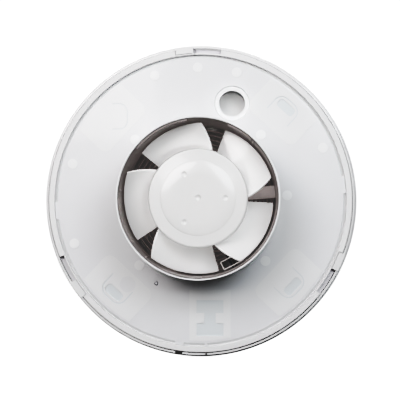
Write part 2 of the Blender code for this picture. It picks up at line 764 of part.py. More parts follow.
def make_lead_guide(axis, material, lead_window):
    """Square duct on the bore's wall that leads the motor's wires past the inlet."""
    half = GUIDE_WIDTH / 2
    wall = GUIDE_WALL
    outer_reach = math.sqrt(guide_outer**2 - half**2) - FIT
    outline = rectangle(guide_inner, outer_reach, -half, half)
    room = rectangle(guide_inner + wall, outer_reach - wall, -half + wall, half - wall)
    body = bmesh.new()
    add_prism(body, outline, flange_front, guide_rear, turned_about(GUIDE_ANGLE))
    guide = make_part("lead_guide", body, material, axis)
    hollow = bmesh.new()
    add_prism(hollow, room, flange_front + wall, guide_rear + OVERCUT, turned_about(GUIDE_ANGLE))
    cut(guide, make_cutter("guide_room", hollow, axis))
    cut(guide, lead_window)


def make_inlet_guard(axis, material):
    """Concentric rings on spokes, seated on the flange in front of the arms."""
    rear = flange_front - FIT
    front = rear - GUARD_THICKNESS
    seat_inner = liner_bore + BELL_RADIUS
    first = HUB_RADIUS + FIT
    pitch = (liner_bore - first) / GUARD_RING_COUNT
    body = bmesh.new()
    for number in range(GUARD_RING_COUNT):
        inner = first + number * pitch
        outline = rectangle(inner, inner + GUARD_RING_WIDTH, front, rear)
        add_turned(body, outline, MEDIUM)
    outline = rectangle(seat_inner, seat_inner + GUARD_SEAT_WIDTH, front, rear)
    add_turned(body, outline, MEDIUM)
    guard = make_part("inlet_guard", body, material, axis)
    spokes = bmesh.new()
    for number in range(GUARD_SPOKE_COUNT):
        half = GUARD_SPOKE_WIDTH / 2
        outline = rectangle(first + GUARD_RING_WIDTH / 2, seat_inner + GUARD_SEAT_WIDTH / 2,
                            -half, half)
        add_prism(spokes, outline, front + FIT, rear - FIT,
                  turned_about(ARM_ANGLES[0] + number * TURN / GUARD_SPOKE_COUNT))
    unite(guard, make_cutter("guard_spokes", spokes, axis))


def make_front_cover(axis, material):
    """Closed dish with three hooked legs; air enters between its rim and the floor."""
    shoulder = rim_rear - COVER_STRAIGHT
    face = cover_radius - COVER_SHOULDER_WIDTH
    brow = shoulder - COVER_SHOULDER_DEPTH
    dome = face * DOME_SHARE
    fall = (brow - cover_front) * DOME_DROP_SHARE
    outline = [(0, cover_front), (dome, cover_front + fall)]
    for step in range(5):
        turn = math.radians(90 * (1 - step / 4))
        outline.append((face + COVER_SHOULDER_WIDTH * math.cos(turn),
                        shoulder - COVER_SHOULDER_DEPTH * math.sin(turn)))
    outline += [(cover_radius, rim_rear - RIM_EDGE), (cover_radius - RIM_EDGE, rim_rear),
                (cover_bore, rim_rear)]
    for step in range(4):
        turn = math.radians(90 * step / 3)
        outline.append((face + (COVER_SHOULDER_WIDTH - COVER_WALL) * math.cos(turn),
                        shoulder - (COVER_SHOULDER_DEPTH - COVER_WALL) * math.sin(turn)))
    inside = cover_front + COVER_WALL
    outline += [(dome, inside + fall), (0, inside)]
    body = bmesh.new()
    add_turned(body, outline, ROUND)
    cover = make_part("front_cover", body, material, axis)

    legs = bmesh.new()
    hook = [
        (hook_inner, hook_rear),
        (leg_outer - RIM_EDGE, hook_rear),
        (leg_outer, hook_rear - RIM_EDGE),
        (leg_outer, rim_rear - LEG_ROOT),
        (leg_inner, rim_rear - LEG_ROOT),
        (leg_inner, hook_front),
        (hook_inner, hook_front),
    ]
    for number in range(BAYONET_COUNT):
        turn = number * TURN / BAYONET_COUNT
        add_turned(legs, hook, 2, HOOK_ANGLE - HOOK_SPAN / 2 + turn, HOOK_SPAN)
    unite(cover, make_cutter("cover_legs", legs, axis))

    notches = bmesh.new()
    slots = ((NOTCH_ANGLE, NOTCH_WIDTH), (MARK_ANGLE, MARK_WIDTH))
    for angle, width in slots:
        wide = width / 2 + width * NOTCH_FLARE
        narrow = width / 2 - width * NOTCH_FLARE
        outline = [(cover_bore - OVERCUT, -narrow), (cover_radius + OVERCUT, -wide),
                   (cover_radius + OVERCUT, wide), (cover_bore - OVERCUT, narrow)]
        add_prism(notches, outline, rim_rear - NOTCH_DEPTH, rim_rear + OVERCUT, turned_about(angle))
    cut(cover, make_cutter("cover_notches", notches, axis))


def add_blade(body, first_angle):
    """One blade: a swept, cambered sheet whose thickness falls away towards its edges."""
    radial_steps = 3
    chord_steps = 9
    root = HUB_RADIUS - HUB_WALL / 2
    sides = ([], [])
    for along in range(radial_steps + 1):
        share = along / radial_steps
        radius = root + (blade_tip - root) * share
        sweep = BLADE_ROOT_SWEEP + (BLADE_TIP_SWEEP - BLADE_ROOT_SWEEP) * share
        rows = ([], [])
        for across in range(chord_steps + 1):
            chord = across / chord_steps
            level = blade_front + BLADE_HEIGHT * chord
            level -= BLADE_CAMBER * math.sin(math.pi * chord)
            body_share = BLADE_EDGE_SHARE + (1 - BLADE_EDGE_SHARE) * math.sin(math.pi * chord)
            half = BLADE_THICKNESS / 2 * body_share
            place = polar(radius, first_angle - sweep * chord, level)
            rows[0].append(body.verts.new(place + Vector((0, 0, half))))
            rows[1].append(body.verts.new(place - Vector((0, 0, half))))
        sides[0].append(rows[0])
        sides[1].append(rows[1])
    for side in sides:
        for lower, upper in zip(side, side[1:]):
            for column in range(chord_steps):
                body.faces.new((lower[column], lower[column + 1], upper[column + 1], upper[column]))
    rear, front = sides
    rim_rear_side = rear[0] + [row[-1] for row in rear[1:]]
    rim_rear_side += rear[-1][-2::-1] + [row[0] for row in rear[-2:0:-1]]
    rim_front_side = front[0] + [row[-1] for row in front[1:]]
    rim_front_side += front[-1][-2::-1] + [row[0] for row in front[-2:0:-1]]
    count = len(rim_rear_side)
    for place in range(count):
        after = (place + 1) % count
        body.faces.new((rim_rear_side[place], rim_rear_side[after],
                        rim_front_side[after], rim_front_side[place]))


def make_impeller(axis, material):
    """Hub and blades in one moulding, with a blind boss for the shaft."""
    corner_level = crown_rear - HUB_SHOULDER_DROP
    boss_outer = shaft_radius + FIT + BUSH_WALL
    boss_front = rear_bush_rear + HUB_BOSS_GAP
    crown = [(0, crown_rear), (CROWN_FLAT_RADIUS, crown_rear)]
    for step in range(1, CROWN_STEPS + 1):
        share = step / CROWN_STEPS
        radius = CROWN_FLAT_RADIUS + (CROWN_RADIUS - CROWN_FLAT_RADIUS) * share
        crown.append((radius, crown_rear - CROWN_DOME * share**2))
    outline = [
        *crown,
        (CROWN_RADIUS, crown_rear - HUB_CAP_DROP),
        *arc((HUB_RADIUS - HUB_CORNER, corner_level), HUB_CORNER, 75, 0),
        (HUB_RADIUS, hub_rim),
        (hub_bore, hub_rim),
        (hub_bore, corner_level - HUB_WALL / 2),
        (CROWN_RADIUS - HUB_WALL, crown_front),
        (boss_outer, crown_front),
        (boss_outer, boss_front),
        (shaft_radius + FIT, boss_front),
        (shaft_radius + FIT, crown_front + CROWN_THICKNESS / 4),
        (0, crown_front + CROWN_THICKNESS / 4),
    ]
    body = bmesh.new()
    add_turned(body, outline, MEDIUM)
    impeller = make_part("impeller", body, material, axis)
    blades = bmesh.new()
    for number in range(BLADE_COUNT):
        add_blade(blades, BLADE_FIRST_ANGLE - number * TURN / BLADE_COUNT)
    unite(impeller, make_cutter("blades", blades, axis))
    dimples = bmesh.new()
    floor = crown_rear - DIMPLE_DEPTH
    add_cylinder(dimples, (0, 0), CENTRE_DIMPLE_RADIUS, floor, crown_rear + OVERCUT)
    for number in range(DIMPLE_COUNT):
        place = polar(DIMPLE_CIRCLE, number * TURN / DIMPLE_COUNT)
        add_cylinder(dimples, place, DIMPLE_RADIUS, floor, crown_rear + OVERCUT)
    cut(impeller, make_cutter("crown_dimples", dimples, axis))


def make_rotor(axis, steel, rotor_steel, aluminium, fibre):
    """Shaft, rotor core with its end rings, and the two thrust washers."""
    shaft = bmesh.new()
    add_cylinder(shaft, (0, 0), shaft_radius, front_bush_front, crown_front)
    make_part("motor_shaft", shaft, steel, axis)
    bore = shaft_radius + FIT
    core = bmesh.new()
    outline = rectangle(bore, ROTOR_RADIUS, rotor_front, rotor_rear)
    add_turned(core, outline, 2 * SMALL)
    make_part("rotor_core", core, rotor_steel, axis)
    inner = ROTOR_RADIUS - END_RING_WIDTH
    for end, seat, away in (("rear", rotor_rear, 1), ("front", rotor_front, -1)):
        near = seat + away * FIT
        ring = bmesh.new()
        outline = rectangle(inner, ROTOR_RADIUS, near, near + away * END_RING_THICKNESS)
        add_turned(ring, outline, 2 * SMALL)
        make_part("rotor_end_ring_" + end, ring, aluminium, axis)
    for end, seat, away in (("rear", rear_bush_front, -1), ("front", front_bush_rear, 1)):
        near = seat + away * FIT
        washer = bmesh.new()
        outline = rectangle(bore, bore + WASHER_WIDTH, near, near + away * WASHER_THICKNESS)
        add_turned(washer, outline, SMALL)
        make_part("thrust_washer_" + end, washer, fibre, axis)


def make_bush(name, axis, material, low, high):
    body = bmesh.new()
    add_turned(body, rectangle(bush_bore, bush_radius, low, high), SMALL)
    make_part(name, body, material, axis)


def make_bracket(name, axis, material, plate, boss, post):
    """A bar across the motor with a boss for its bush and a post at each end for a long screw."""
    body = bmesh.new()
    boss_bore = bush_radius + FIT
    add_cylinder(body, (0, 0), boss_bore + BRACKET_BOSS_WALL, *boss)
    bracket = make_part(name, body, material, axis)
    reach = motor_screw_circle + post_radius + SINK
    half = BRACKET_WIDTH / 2
    bar = bmesh.new()
    outline = rectangle(-reach, reach, -half, half, post_radius)
    add_prism(bar, outline, *plate, turned_about(MOTOR_SCREW_ANGLES[0]))
    unite(bracket, make_cutter(name + "_bar", bar, axis))
    posts = bmesh.new()
    for angle in MOTOR_SCREW_ANGLES:
        add_cylinder(posts, polar(motor_screw_circle, angle), post_radius, *post)
    unite(bracket, make_cutter(name + "_posts", posts, axis))
    holes = bmesh.new()
    low = min(*plate, *boss, *post) - OVERCUT
    high = max(*plate, *boss, *post) + OVERCUT
    add_cylinder(holes, (0, 0), boss_bore, low, high)
    for angle in MOTOR_SCREW_ANGLES:
        add_cylinder(holes, polar(motor_screw_circle, angle), motor_screw_hole, low, high)
    cut(bracket, make_cutter(name + "_holes", holes, axis))


def make_brackets(axis, material):
    make_bracket("motor_rear_bracket", axis, material,
                 plate=(rear_bracket_front, rear_bracket_rear),
                 boss=(rear_bush_front, rear_bush_rear),
                 post=(stator_rear + FIT, rear_bracket_front + SINK))
    make_bracket("motor_front_bracket", axis, material,
                 plate=(front_bracket_front, front_bracket_rear),
                 boss=(front_bush_front, front_bush_rear),
                 post=(front_bracket_rear - SINK, STATOR_FRONT - FIT))


def pole_outline():
    """One stator pole with its shoe, pointing along x."""
    half = POLE_WIDTH / 2
    shoe = stator_bore + SHOE_THICKNESS
    outline = [(yoke_bore + YOKE_WIDTH / 4, -half), (yoke_bore + YOKE_WIDTH / 4, half)]
    outline += [(math.sqrt(shoe**2 - half**2), half)]
    outline += arc((0, 0), shoe, SHOE_HALF_ANGLE - SHOE_TAPER, SHOE_HALF_ANGLE, 1)
    outline += arc((0, 0), stator_bore, SHOE_HALF_ANGLE, -SHOE_HALF_ANGLE, 5)
    outline += arc((0, 0), shoe, -SHOE_HALF_ANGLE, SHOE_TAPER - SHOE_HALF_ANGLE, 1)
    outline += [(math.sqrt(shoe**2 - half**2), -half)]
    return outline


def make_stator(axis, steel, bobbin_plastic, copper):
    """Lamination stack with salient poles, and a wound bobbin on each pole."""
    yoke = bmesh.new()
    add_turned(yoke, rectangle(yoke_bore, stator_radius, STATOR_FRONT, stator_rear), MEDIUM)
    stator = make_part("stator_core", yoke, steel, axis)
    poles = bmesh.new()
    for number in range(POLE_COUNT):
        add_prism(poles, pole_outline(), STATOR_FRONT + MERGE, stator_rear - MERGE,
                  turned_about(number * TURN / POLE_COUNT))
    unite(stator, make_cutter("stator_poles", poles, axis))
    holes = bmesh.new()
    for angle in MOTOR_SCREW_ANGLES:
        add_cylinder(holes, polar(motor_screw_circle, angle), motor_screw_hole,
                     STATOR_FRONT - OVERCUT, stator_rear + OVERCUT)
    cut(stator, make_cutter("stator_holes", holes, axis))

    for number in range(POLE_COUNT):
        make_coil(number, axis, bobbin_plastic, copper)


def make_coil(number, axis, bobbin_plastic, copper):
    """One bobbin round a pole, and the coil wound on it."""
    inner = bobbin_inner
    outer = bobbin_outer
    middle = (STATOR_FRONT + stator_rear) / 2
    tall = STATOR_LENGTH / 2 + FIT
    wide = bobbin_half_room
    stand = Matrix.Rotation(math.radians(90), 4, "Y") @ Matrix.Rotation(math.radians(90), 4, "Z")
    place = turned_about(number * TURN / POLE_COUNT) @ Matrix.Translation((0, 0, middle)) @ stand
    wall = BOBBIN_WALL
    tube = bmesh.new()
    add_prism(tube, rectangle(-wide - wall, wide + wall, -tall - wall, tall + wall),
              inner + wall / 2, outer - wall / 2, place)
    bobbin = make_part(f"coil_bobbin_{number + 1}", tube, bobbin_plastic, axis)
    rim = rectangle(-wide - BOBBIN_FLANGE, wide + BOBBIN_FLANGE, -tall - BOBBIN_FLANGE,
                    tall + BOBBIN_FLANGE, COIL_CORNER, 1)
    flanges = bmesh.new()
    add_prism(flanges, rim, inner, inner + wall, place)
    add_prism(flanges, rim, outer - wall, outer, place)
    unite(bobbin, make_cutter(f"bobbin_flanges_{number + 1}", flanges, axis))
    passage = bmesh.new()
    add_prism(passage, rectangle(-wide, wide, -tall, tall), inner - OVERCUT, outer + OVERCUT, place)
    cut(bobbin, make_cutter(f"bobbin_passage_{number + 1}", passage, axis))

    gap = wall + FIT
    winding = rectangle(-wide - gap - COIL_DEPTH, wide + gap + COIL_DEPTH,
                        -tall - gap - COIL_DEPTH, tall + gap + COIL_DEPTH, COIL_CORNER, 1)
    wound = bmesh.new()
    add_prism(wound, winding, inner + gap, outer - gap, place)
    coil = make_part(f"stator_coil_{number + 1}", wound, copper, axis)
    room = bmesh.new()
    add_prism(room, rectangle(-wide - gap, wide + gap, -tall - gap, tall + gap), inner, outer, place)
    cut(coil, make_cutter(f"coil_room_{number + 1}", room, axis))


def add_screw(body, place, diameter, head_seat, tip, side):
    """A pan-head screw along z. Its head stands on head_seat, towards side (+1 or -1)."""
    radius = diameter / 2
    top = head_seat + side * SCREW_HEAD_HEIGHT
    head = SCREW_HEAD_DIAMETER / 2
    rim = head_seat + side * SCREW_HEAD_HEIGHT * SCREW_RIM_SHARE
    outline = [(0, top), (head * SCREW_CROWN_SHARE, top), (head, rim),
               (head, head_seat), (radius, head_seat), (radius, tip + side * radius),
               (radius * SCREW_TIP_SHARE, tip), (0, tip)]
    add_turned(body, outline, TINY, place=Matrix.Translation(Vector((place[0], place[1], 0))))


def make_screw(name, axis, material, place, diameter, head_seat, tip, side):
    body = bmesh.new()
    add_screw(body, place, diameter, head_seat, tip, side)
    make_part(name, body, material, axis)


def make_screws(axis, material):
    for number, angle in enumerate(EAR_ANGLES, 1):
        make_screw(f"mount_screw_{number}", axis, material, polar(ear_circle, angle), SCREW_DIAMETER,
                   flange_front - FIT, floor_front - 2 * FIT, -1)
    for number, angle in enumerate(MOTOR_SCREW_ANGLES, 1):
        make_screw(f"motor_screw_{number}", axis, material, polar(motor_screw_circle, angle),
                   MOTOR_SCREW_DIAMETER, rear_bracket_rear + FIT, pod_floor + 3 * FIT, 1)
    make_screw("plate_screw", axis, material,
               polar(spigot_radius + PLATE_SCREW_OFFSET, PLATE_SCREW_ANGLE), SCREW_DIAMETER,
               floor_front - SCREW_HEAD_HEIGHT - FIT, plate_rear + FIT, -1)
    lid_front = box_front - FIT - LID_THICKNESS
    make_screw("terminal_cover_screw", axis, material, lid_screw_place(), SCREW_DIAMETER,
               lid_front - FIT, floor_front - 2 * FIT, -1)


def make_terminals(axis, block_plastic, brass, steel, lid_plastic):
    """Terminal block with two brass contacts and their screws, and the lid over its box."""
    place = turned_about(CABLE_ANGLE)
    half = BLOCK_BREADTH / 2
    body = bmesh.new()
    outline = rectangle(block_centre - half, block_centre + half, block_far, block_near,
                        BLOCK_CORNER, 1)
    add_prism(body, outline, block_front, floor_front - FIT, place)
    block = make_part("terminal_block", body, block_plastic, axis)
    middle = (block_far + block_near) / 2
    contact_half = BLOCK_LENGTH / 2 - CONTACT_INSET
    screw_spots = (middle - TERMINAL_SCREW_PITCH / 2, middle + TERMINAL_SCREW_PITCH / 2)
    tunnels = bmesh.new()
    wells = bmesh.new()
    bores = bmesh.new()
    contacts = []
    screw_tip = contact_level - lead_radius - FIT
    for pole, row in enumerate(contact_rows(), 1):
        add_bar_along_box(tunnels, row, contact_level, CONTACT_DIAMETER / 2 + FIT,
                          block_far - OVERCUT, block_near + OVERCUT)
        add_bar_along_box(bores, row, contact_level, CONTACT_BORE / 2,
                          middle - contact_half - OVERCUT, middle + contact_half + OVERCUT, 8)
        tube = bmesh.new()
        add_bar_along_box(tube, row, contact_level, CONTACT_DIAMETER / 2,
                          middle - contact_half, middle + contact_half)
        contacts.append(make_part(f"terminal_contact_{pole}", tube, brass, axis))
        for number, spot in enumerate(screw_spots, 2 * pole - 1):
            centre = place @ Vector((row, spot, 0))
            add_cylinder(wells, centre, TERMINAL_SCREW_DIAMETER / 2 + FIT,
                         block_front - OVERCUT, contact_level, TINY)
            screw = bmesh.new()
            add_cylinder(screw, centre, TERMINAL_SCREW_DIAMETER / 2, block_front + FIT,
                         screw_tip, TINY)
            make_part(f"terminal_screw_{number}", screw, steel, axis)
    wells_cutter = make_cutter("terminal_wells", wells, axis)
    cut(block, make_cutter("terminal_tunnels", tunnels, axis))
    cut(block, wells_cutter)
    bores_cutter = make_cutter("contact_bores", bores, axis)
    for contact in contacts:
        cut(contact, bores_cutter)
        cut(contact, wells_cutter)

    lid_rear = box_front - FIT
    lid = bmesh.new()
    outline = rectangle(box_inner - BOX_WALL, box_outer + BOX_WALL, box_far - BOX_WALL,
                        box_near + BOX_WALL, LID_CORNER)
    add_prism(lid, outline, lid_rear - LID_THICKNESS, lid_rear, place)
    lid_part = make_part("terminal_cover", lid, lid_plastic, axis)
    hole = bmesh.new()
    add_cylinder(hole, lid_screw_place(), SCREW_DIAMETER / 2 + FIT,
                 lid_rear - LID_THICKNESS - OVERCUT, lid_rear + OVERCUT)
    cut(lid_part, make_cutter("lid_hole", hole, axis))


def smooth_route(points, steps):
    """Points along a smooth curve that passes through every point of a route."""
    padded = [2 * points[0] - points[1], *points, 2 * points[-1] - points[-2]]
    route = []
    for before, start, end, after in zip(padded, padded[1:], padded[2:], padded[3:]):
        for step in range(steps):
            t = step / steps
            place = 0.5 * ((2 * start) + (end - before) * t
                           + (2 * before - 5 * start + 4 * end - after) * t**2
                           + (3 * start - before - 3 * end + after) * t**3)
            route.append(place)
    route.append(points[-1])
    return route


def make_lead(name, axis, material, route):
    curve = bpy.data.curves.new(name, "CURVE")
    curve.dimensions = "3D"
    curve.bevel_depth = lead_radius
    curve.bevel_resolution = 1
    curve.use_fill_caps = True
    spline = curve.splines.new("POLY")
    spline.points.add(len(route) - 1)
    for spot, place in zip(spline.points, route):
        spot.co = (*place, 1.0)
    curve.materials.append(material)
    lead = bpy.data.objects.new(name, curve)
    bpy.context.collection.objects.link(lead)
    lead.parent = axis


def lead_route(row, lane, coil_end):
    """From a contact out of the terminal box, round the floor, through the guide to a coil."""
    box = turned_about(CABLE_ANGLE)
    guide = turned_about(GUIDE_ANGLE)
    middle = (block_far + block_near) / 2
    wall = box_far - BOX_WALL
    exit_point = Vector((row, wall - LEAD_EXIT_RUN, contact_level))
    route = [box @ Vector((row, middle, contact_level)),
             box @ Vector((row, wall, contact_level)),
             box @ exit_point]
    exit_radius = exit_point.xy.length
    exit_angle = math.degrees(math.atan2(exit_point.y, exit_point.x)) + CABLE_ANGLE
    track = lead_track + lane
    route.append(polar((exit_radius + track) / 2, exit_angle - LEAD_MERGE_ANGLE / 2,
                       (contact_level + lead_level) / 2))
    first = exit_angle - LEAD_MERGE_ANGLE
    bend = LEAD_BEND_RADIUS + lane
    side = LEAD_SPACING / 2 - lane
    last = GUIDE_ANGLE + math.degrees(math.asin((side + bend) / track))
    for step in range(LEAD_TRACK_STEPS):
        angle = first + (last - first) * step / LEAD_TRACK_STEPS
        route.append(polar(track, angle, lead_level))
    for step in range(3):
        turn = math.radians(45 * step)
        level = lead_level + (guide_level - lead_level) * step / 2
        route.append(guide @ Vector((track - bend + bend * math.cos(turn),
                                     side + bend - bend * math.sin(turn), level)))
    route += [guide @ Vector((collar_outer, side, guide_level)),
              guide @ Vector((pod_bore, side, guide_level)),
              coil_end]
    return smooth_route(route, 2)


def make_leads(axis, live_colour, neutral_colour):
    inner_row, outer_row = contact_rows()
    coil_front = STATOR_FRONT - coil_overhang - FIT - lead_radius - FIT
    coil_middle = (bobbin_inner + bobbin_outer) / 2
    live_end = polar(coil_middle, 0, coil_front) + Vector((0, -LEAD_TAIL, 0))
    neutral_end = polar(coil_middle, 270, coil_front) + Vector((LEAD_TAIL, 0, 0))
    make_lead("lead_live", axis, live_colour, lead_route(inner_row, 0, live_end))
    make_lead("lead_neutral", axis, neutral_colour,
              lead_route(outer_row, LEAD_SPACING, neutral_end))


def build():
    clear_scene()
    fan_axis = make_empty("fan_axis")
    fan_axis.rotation_euler = (math.radians(90), 0, 0)
    impeller_axis = make_empty("impeller_axis", fan_axis)
    cover_axis = make_empty("cover_axis", fan_axis)

    white = make_material("white_abs", (0.86, 0.86, 0.85), 0.3)
    plate_white = make_material("plate_white", (0.85, 0.86, 0.86), 0.16)
    cover_white = make_material("cover_white", (0.88, 0.88, 0.87), 0.2)
    blade_white = make_material("impeller_white", (0.87, 0.87, 0.85), 0.22)
    dark = make_material("dark_plastic", (0.05, 0.043, 0.042), 0.3)
    guard_dark = make_material("guard_plastic", (0.06, 0.055, 0.055), 0.4)
    guide_white = make_material("guide_white", (0.7, 0.69, 0.67), 0.4)
    zinc = make_material("zinc_steel", (0.6, 0.6, 0.58), 0.35, 1.0)
    bracket_steel = make_material("bracket_steel", (0.62, 0.62, 0.6), 0.4, 1.0)
    shaft_steel = make_material("shaft_steel", (0.7, 0.7, 0.7), 0.2, 1.0)
    lamination = make_material("lamination_steel", (0.32, 0.33, 0.35), 0.45, 1.0)
    rotor_steel = make_material("rotor_steel", (0.4, 0.4, 0.42), 0.4, 1.0)
    aluminium = make_material("cast_aluminium", (0.75, 0.75, 0.76), 0.4, 1.0)
    bronze = make_material("bush_bronze", (0.6, 0.42, 0.24), 0.4, 1.0)
    brass = make_material("contact_brass", (0.72, 0.56, 0.27), 0.3, 1.0)
    copper = make_material("coil_copper", (0.55, 0.25, 0.12), 0.35, 1.0)
    bobbin = make_material("bobbin_nylon", (0.75, 0.73, 0.66), 0.5)
    fibre = make_material("washer_fibre", (0.35, 0.22, 0.12), 0.7)
    block = make_material("block_nylon", (0.82, 0.82, 0.8), 0.45)
    brown = make_material("lead_brown", (0.2, 0.08, 0.04), 0.45)
    blue = make_material("lead_blue", (0.03, 0.12, 0.45), 0.45)

    lead_window = make_lead_window(fan_axis)
    make_back_plate(fan_axis, plate_white)
    make_chassis(fan_axis, white, lead_window)
    make_motor_mount(fan_axis, dark, lead_window)
    make_lead_guide(fan_axis, guide_white, lead_window)
    make_inlet_guard(fan_axis, guard_dark)
    make_front_cover(cover_axis, cover_white)
    make_impeller(impeller_axis, blade_white)
    make_rotor(impeller_axis, shaft_steel, rotor_steel, aluminium, fibre)
    make_bush("rear_bush", fan_axis, bronze, rear_bush_front, rear_bush_rear)
    make_bush("front_bush", fan_axis, bronze, front_bush_front, front_bush_rear)
    make_brackets(fan_axis, bracket_steel)
    make_stator(fan_axis, lamination, bobbin, copper)
    make_screws(fan_axis, zinc)
    make_terminals(fan_axis, block, brass, zinc, white)
    make_leads(fan_axis, brown, blue)


build()
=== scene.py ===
"""Looks of a round exhaust fan, seen from its duct side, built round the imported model.

Sizes are in millimetres. A depth is along the fan's axis: 0 is the wall, more is in the duct, where
world -Y points, and less is in the room. Angles run anticlockwise as seen from the duct, from the
right.
"""

import math

import bpy
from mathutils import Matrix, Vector


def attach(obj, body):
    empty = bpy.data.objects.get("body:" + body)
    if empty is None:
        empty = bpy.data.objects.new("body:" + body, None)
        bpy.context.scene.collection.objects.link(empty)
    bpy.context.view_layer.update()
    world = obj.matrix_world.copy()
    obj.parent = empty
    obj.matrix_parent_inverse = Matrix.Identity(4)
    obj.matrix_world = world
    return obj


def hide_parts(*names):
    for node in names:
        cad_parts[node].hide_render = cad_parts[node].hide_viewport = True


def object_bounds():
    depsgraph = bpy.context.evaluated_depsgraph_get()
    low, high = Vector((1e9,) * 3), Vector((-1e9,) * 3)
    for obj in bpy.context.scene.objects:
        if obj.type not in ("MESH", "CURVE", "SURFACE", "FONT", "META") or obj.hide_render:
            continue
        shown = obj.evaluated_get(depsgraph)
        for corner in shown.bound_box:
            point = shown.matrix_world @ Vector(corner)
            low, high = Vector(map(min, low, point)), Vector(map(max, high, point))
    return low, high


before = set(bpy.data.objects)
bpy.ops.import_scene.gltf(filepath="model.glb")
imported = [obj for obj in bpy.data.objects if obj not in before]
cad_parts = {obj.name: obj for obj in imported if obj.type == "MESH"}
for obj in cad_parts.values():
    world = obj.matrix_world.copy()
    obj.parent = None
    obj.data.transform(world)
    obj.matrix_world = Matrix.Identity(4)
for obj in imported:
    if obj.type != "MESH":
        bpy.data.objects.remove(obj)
cad_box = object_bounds()
bpy.ops.object.select_all(action="DESELECT")


# Camera and studio. The camera looks into the duct side from a little below and to the right. The
# fan stands on its cover's edge on a pale table in a white room, under soft lights from above, and
# narrow lamps fill the bore and the cable hole.
eye = Vector((0.0315, -0.8357, -0.0295))
bpy.ops.object.camera_add(location=eye)
camera = bpy.context.object
camera.rotation_euler = (-eye).to_track_quat("-Z", "Y").to_euler()
camera.data.sensor_width = 36
camera.data.lens = 120.4
camera.data.clip_start = 0.02
camera.data.clip_end = 50
bpy.context.scene.camera = camera

# The picture is printed as a catalogue cut-out is, with deep shadows and bright, even whites.
view = bpy.context.scene.view_settings
view.view_transform = "Standard"
view.look = "None"
view.use_curve_mapping = True
tone_points = view.curve_mapping.curves[3].points
tone_points[0].location = (0, 0.008)
for light, shown in ((0.04, 0.018), (0.075, 0.03), (0.127, 0.088), (0.185, 0.192), (0.245, 0.33),
                     (0.32, 0.455), (0.44, 0.575), (0.6, 0.75), (0.7, 0.82), (0.85, 0.9)):
    tone_points.new(light, shown)
view.curve_mapping.update()


def soft_box(name, place, width, height, power, tint=(1, 1, 1)):
    """A wide, even light that faces the fan."""
    bpy.ops.object.light_add(type="AREA", location=place)
    lamp = bpy.context.object
    lamp.name = name
    lamp.data.shape = "RECTANGLE"
    lamp.data.size = width
    lamp.data.size_y = height
    lamp.data.energy = power
    lamp.data.color = tint
    lamp.rotation_euler = (-Vector(place)).to_track_quat("-Z", "Y").to_euler()


def narrow_lamp(name, place, aim, power, spread):
    """A small lamp with a cone of a few degrees, which leaves no highlight."""
    bpy.ops.object.light_add(type="SPOT", location=place)
    lamp = bpy.context.object
    lamp.name = name
    lamp.visible_glossy = False
    lamp.data.energy = power
    lamp.data.shadow_soft_size = 0.01
    lamp.data.spot_blend = 0.2
    lamp.data.spot_size = math.radians(spread)
    lamp.rotation_euler = (Vector(aim) - Vector(place)).to_track_quat("-Z", "Y").to_euler()


soft_box("left_box", (-0.42, -1.0, 0.40), 0.72, 0.56, 5.5, (1, 0.965, 0.97))
soft_box("right_box", (0.42, -1.0, 0.40), 0.72, 0.56, 4.5, (0.93, 0.965, 1))
soft_box("room_box", (0.35, 0.95, 0.75), 0.8, 0.6, 9)

bore_middle = (0, -0.027, 0)
cable_hole_middle = (0.0198, 0, 0.0607)
bore_lamp_places = ((-0.08, -1.05, -0.4), (0.1, -1.1, -0.3), (-0.22, -1.05, -0.3),
                    (0.36, -1.05, -0.2))
for number, place in enumerate(bore_lamp_places, 1):
    narrow_lamp(f"bore_lamp_{number}", place, bore_middle, power=4.4, spread=4.4)
narrow_lamp("entry_lamp", (0.05, -1.0, 0.02), cable_hole_middle, power=15, spread=1.0)

# The room is brighter towards its ceiling, and plain white where the camera sees it.
room = bpy.data.worlds.new("white_room")
bpy.context.scene.world = room
room.use_nodes = True
sky = room.node_tree.nodes
direction = sky.new("ShaderNodeTexCoord")
split = sky.new("ShaderNodeSeparateXYZ")
rise = sky.new("ShaderNodeMapRange")
rise.inputs["From Min"].default_value = -0.1
rise.inputs["From Max"].default_value = 0.5
rise.inputs["To Min"].default_value = 0.03
rise.inputs["To Max"].default_value = 0.3
rays = sky.new("ShaderNodeLightPath")
seen = sky.new("ShaderNodeMix")
seen.inputs[3].default_value = 1.05
background = sky["Background"]
background.inputs["Color"].default_value = (1, 1, 1, 1)
room.node_tree.links.new(direction.outputs["Generated"], split.inputs[0])
room.node_tree.links.new(split.outputs["Z"], rise.inputs["Value"])
room.node_tree.links.new(rise.outputs["Result"], seen.inputs[2])
room.node_tree.links.new(rays.outputs["Is Camera Ray"], seen.inputs[0])
room.node_tree.links.new(seen.outputs[0], background.inputs["Strength"])

# The table is only seen: it throws no light or shadow on the fan.
table_gap = 0.0004
bpy.ops.mesh.primitive_plane_add(size=12, location=(0, 0, cad_box[0].z - table_gap))
table = bpy.context.object
table.name = "table"
table.visible_diffuse = False
table.visible_glossy = False
table.visible_shadow = False
table_white = bpy.data.materials.new("table_white")
table_white.use_nodes = True
table_shader = table_white.node_tree.nodes["Principled BSDF"]
table_shader.inputs["Base Color"].default_value = (0.12, 0.12, 0.12, 1)
table_shader.inputs["Roughness"].default_value = 0.9
table_shader.inputs["Emission Color"].default_value = (1, 1, 1, 1)
table_shader.inputs["Emission Strength"].default_value = 0.96
table.data.materials.append(table_white)


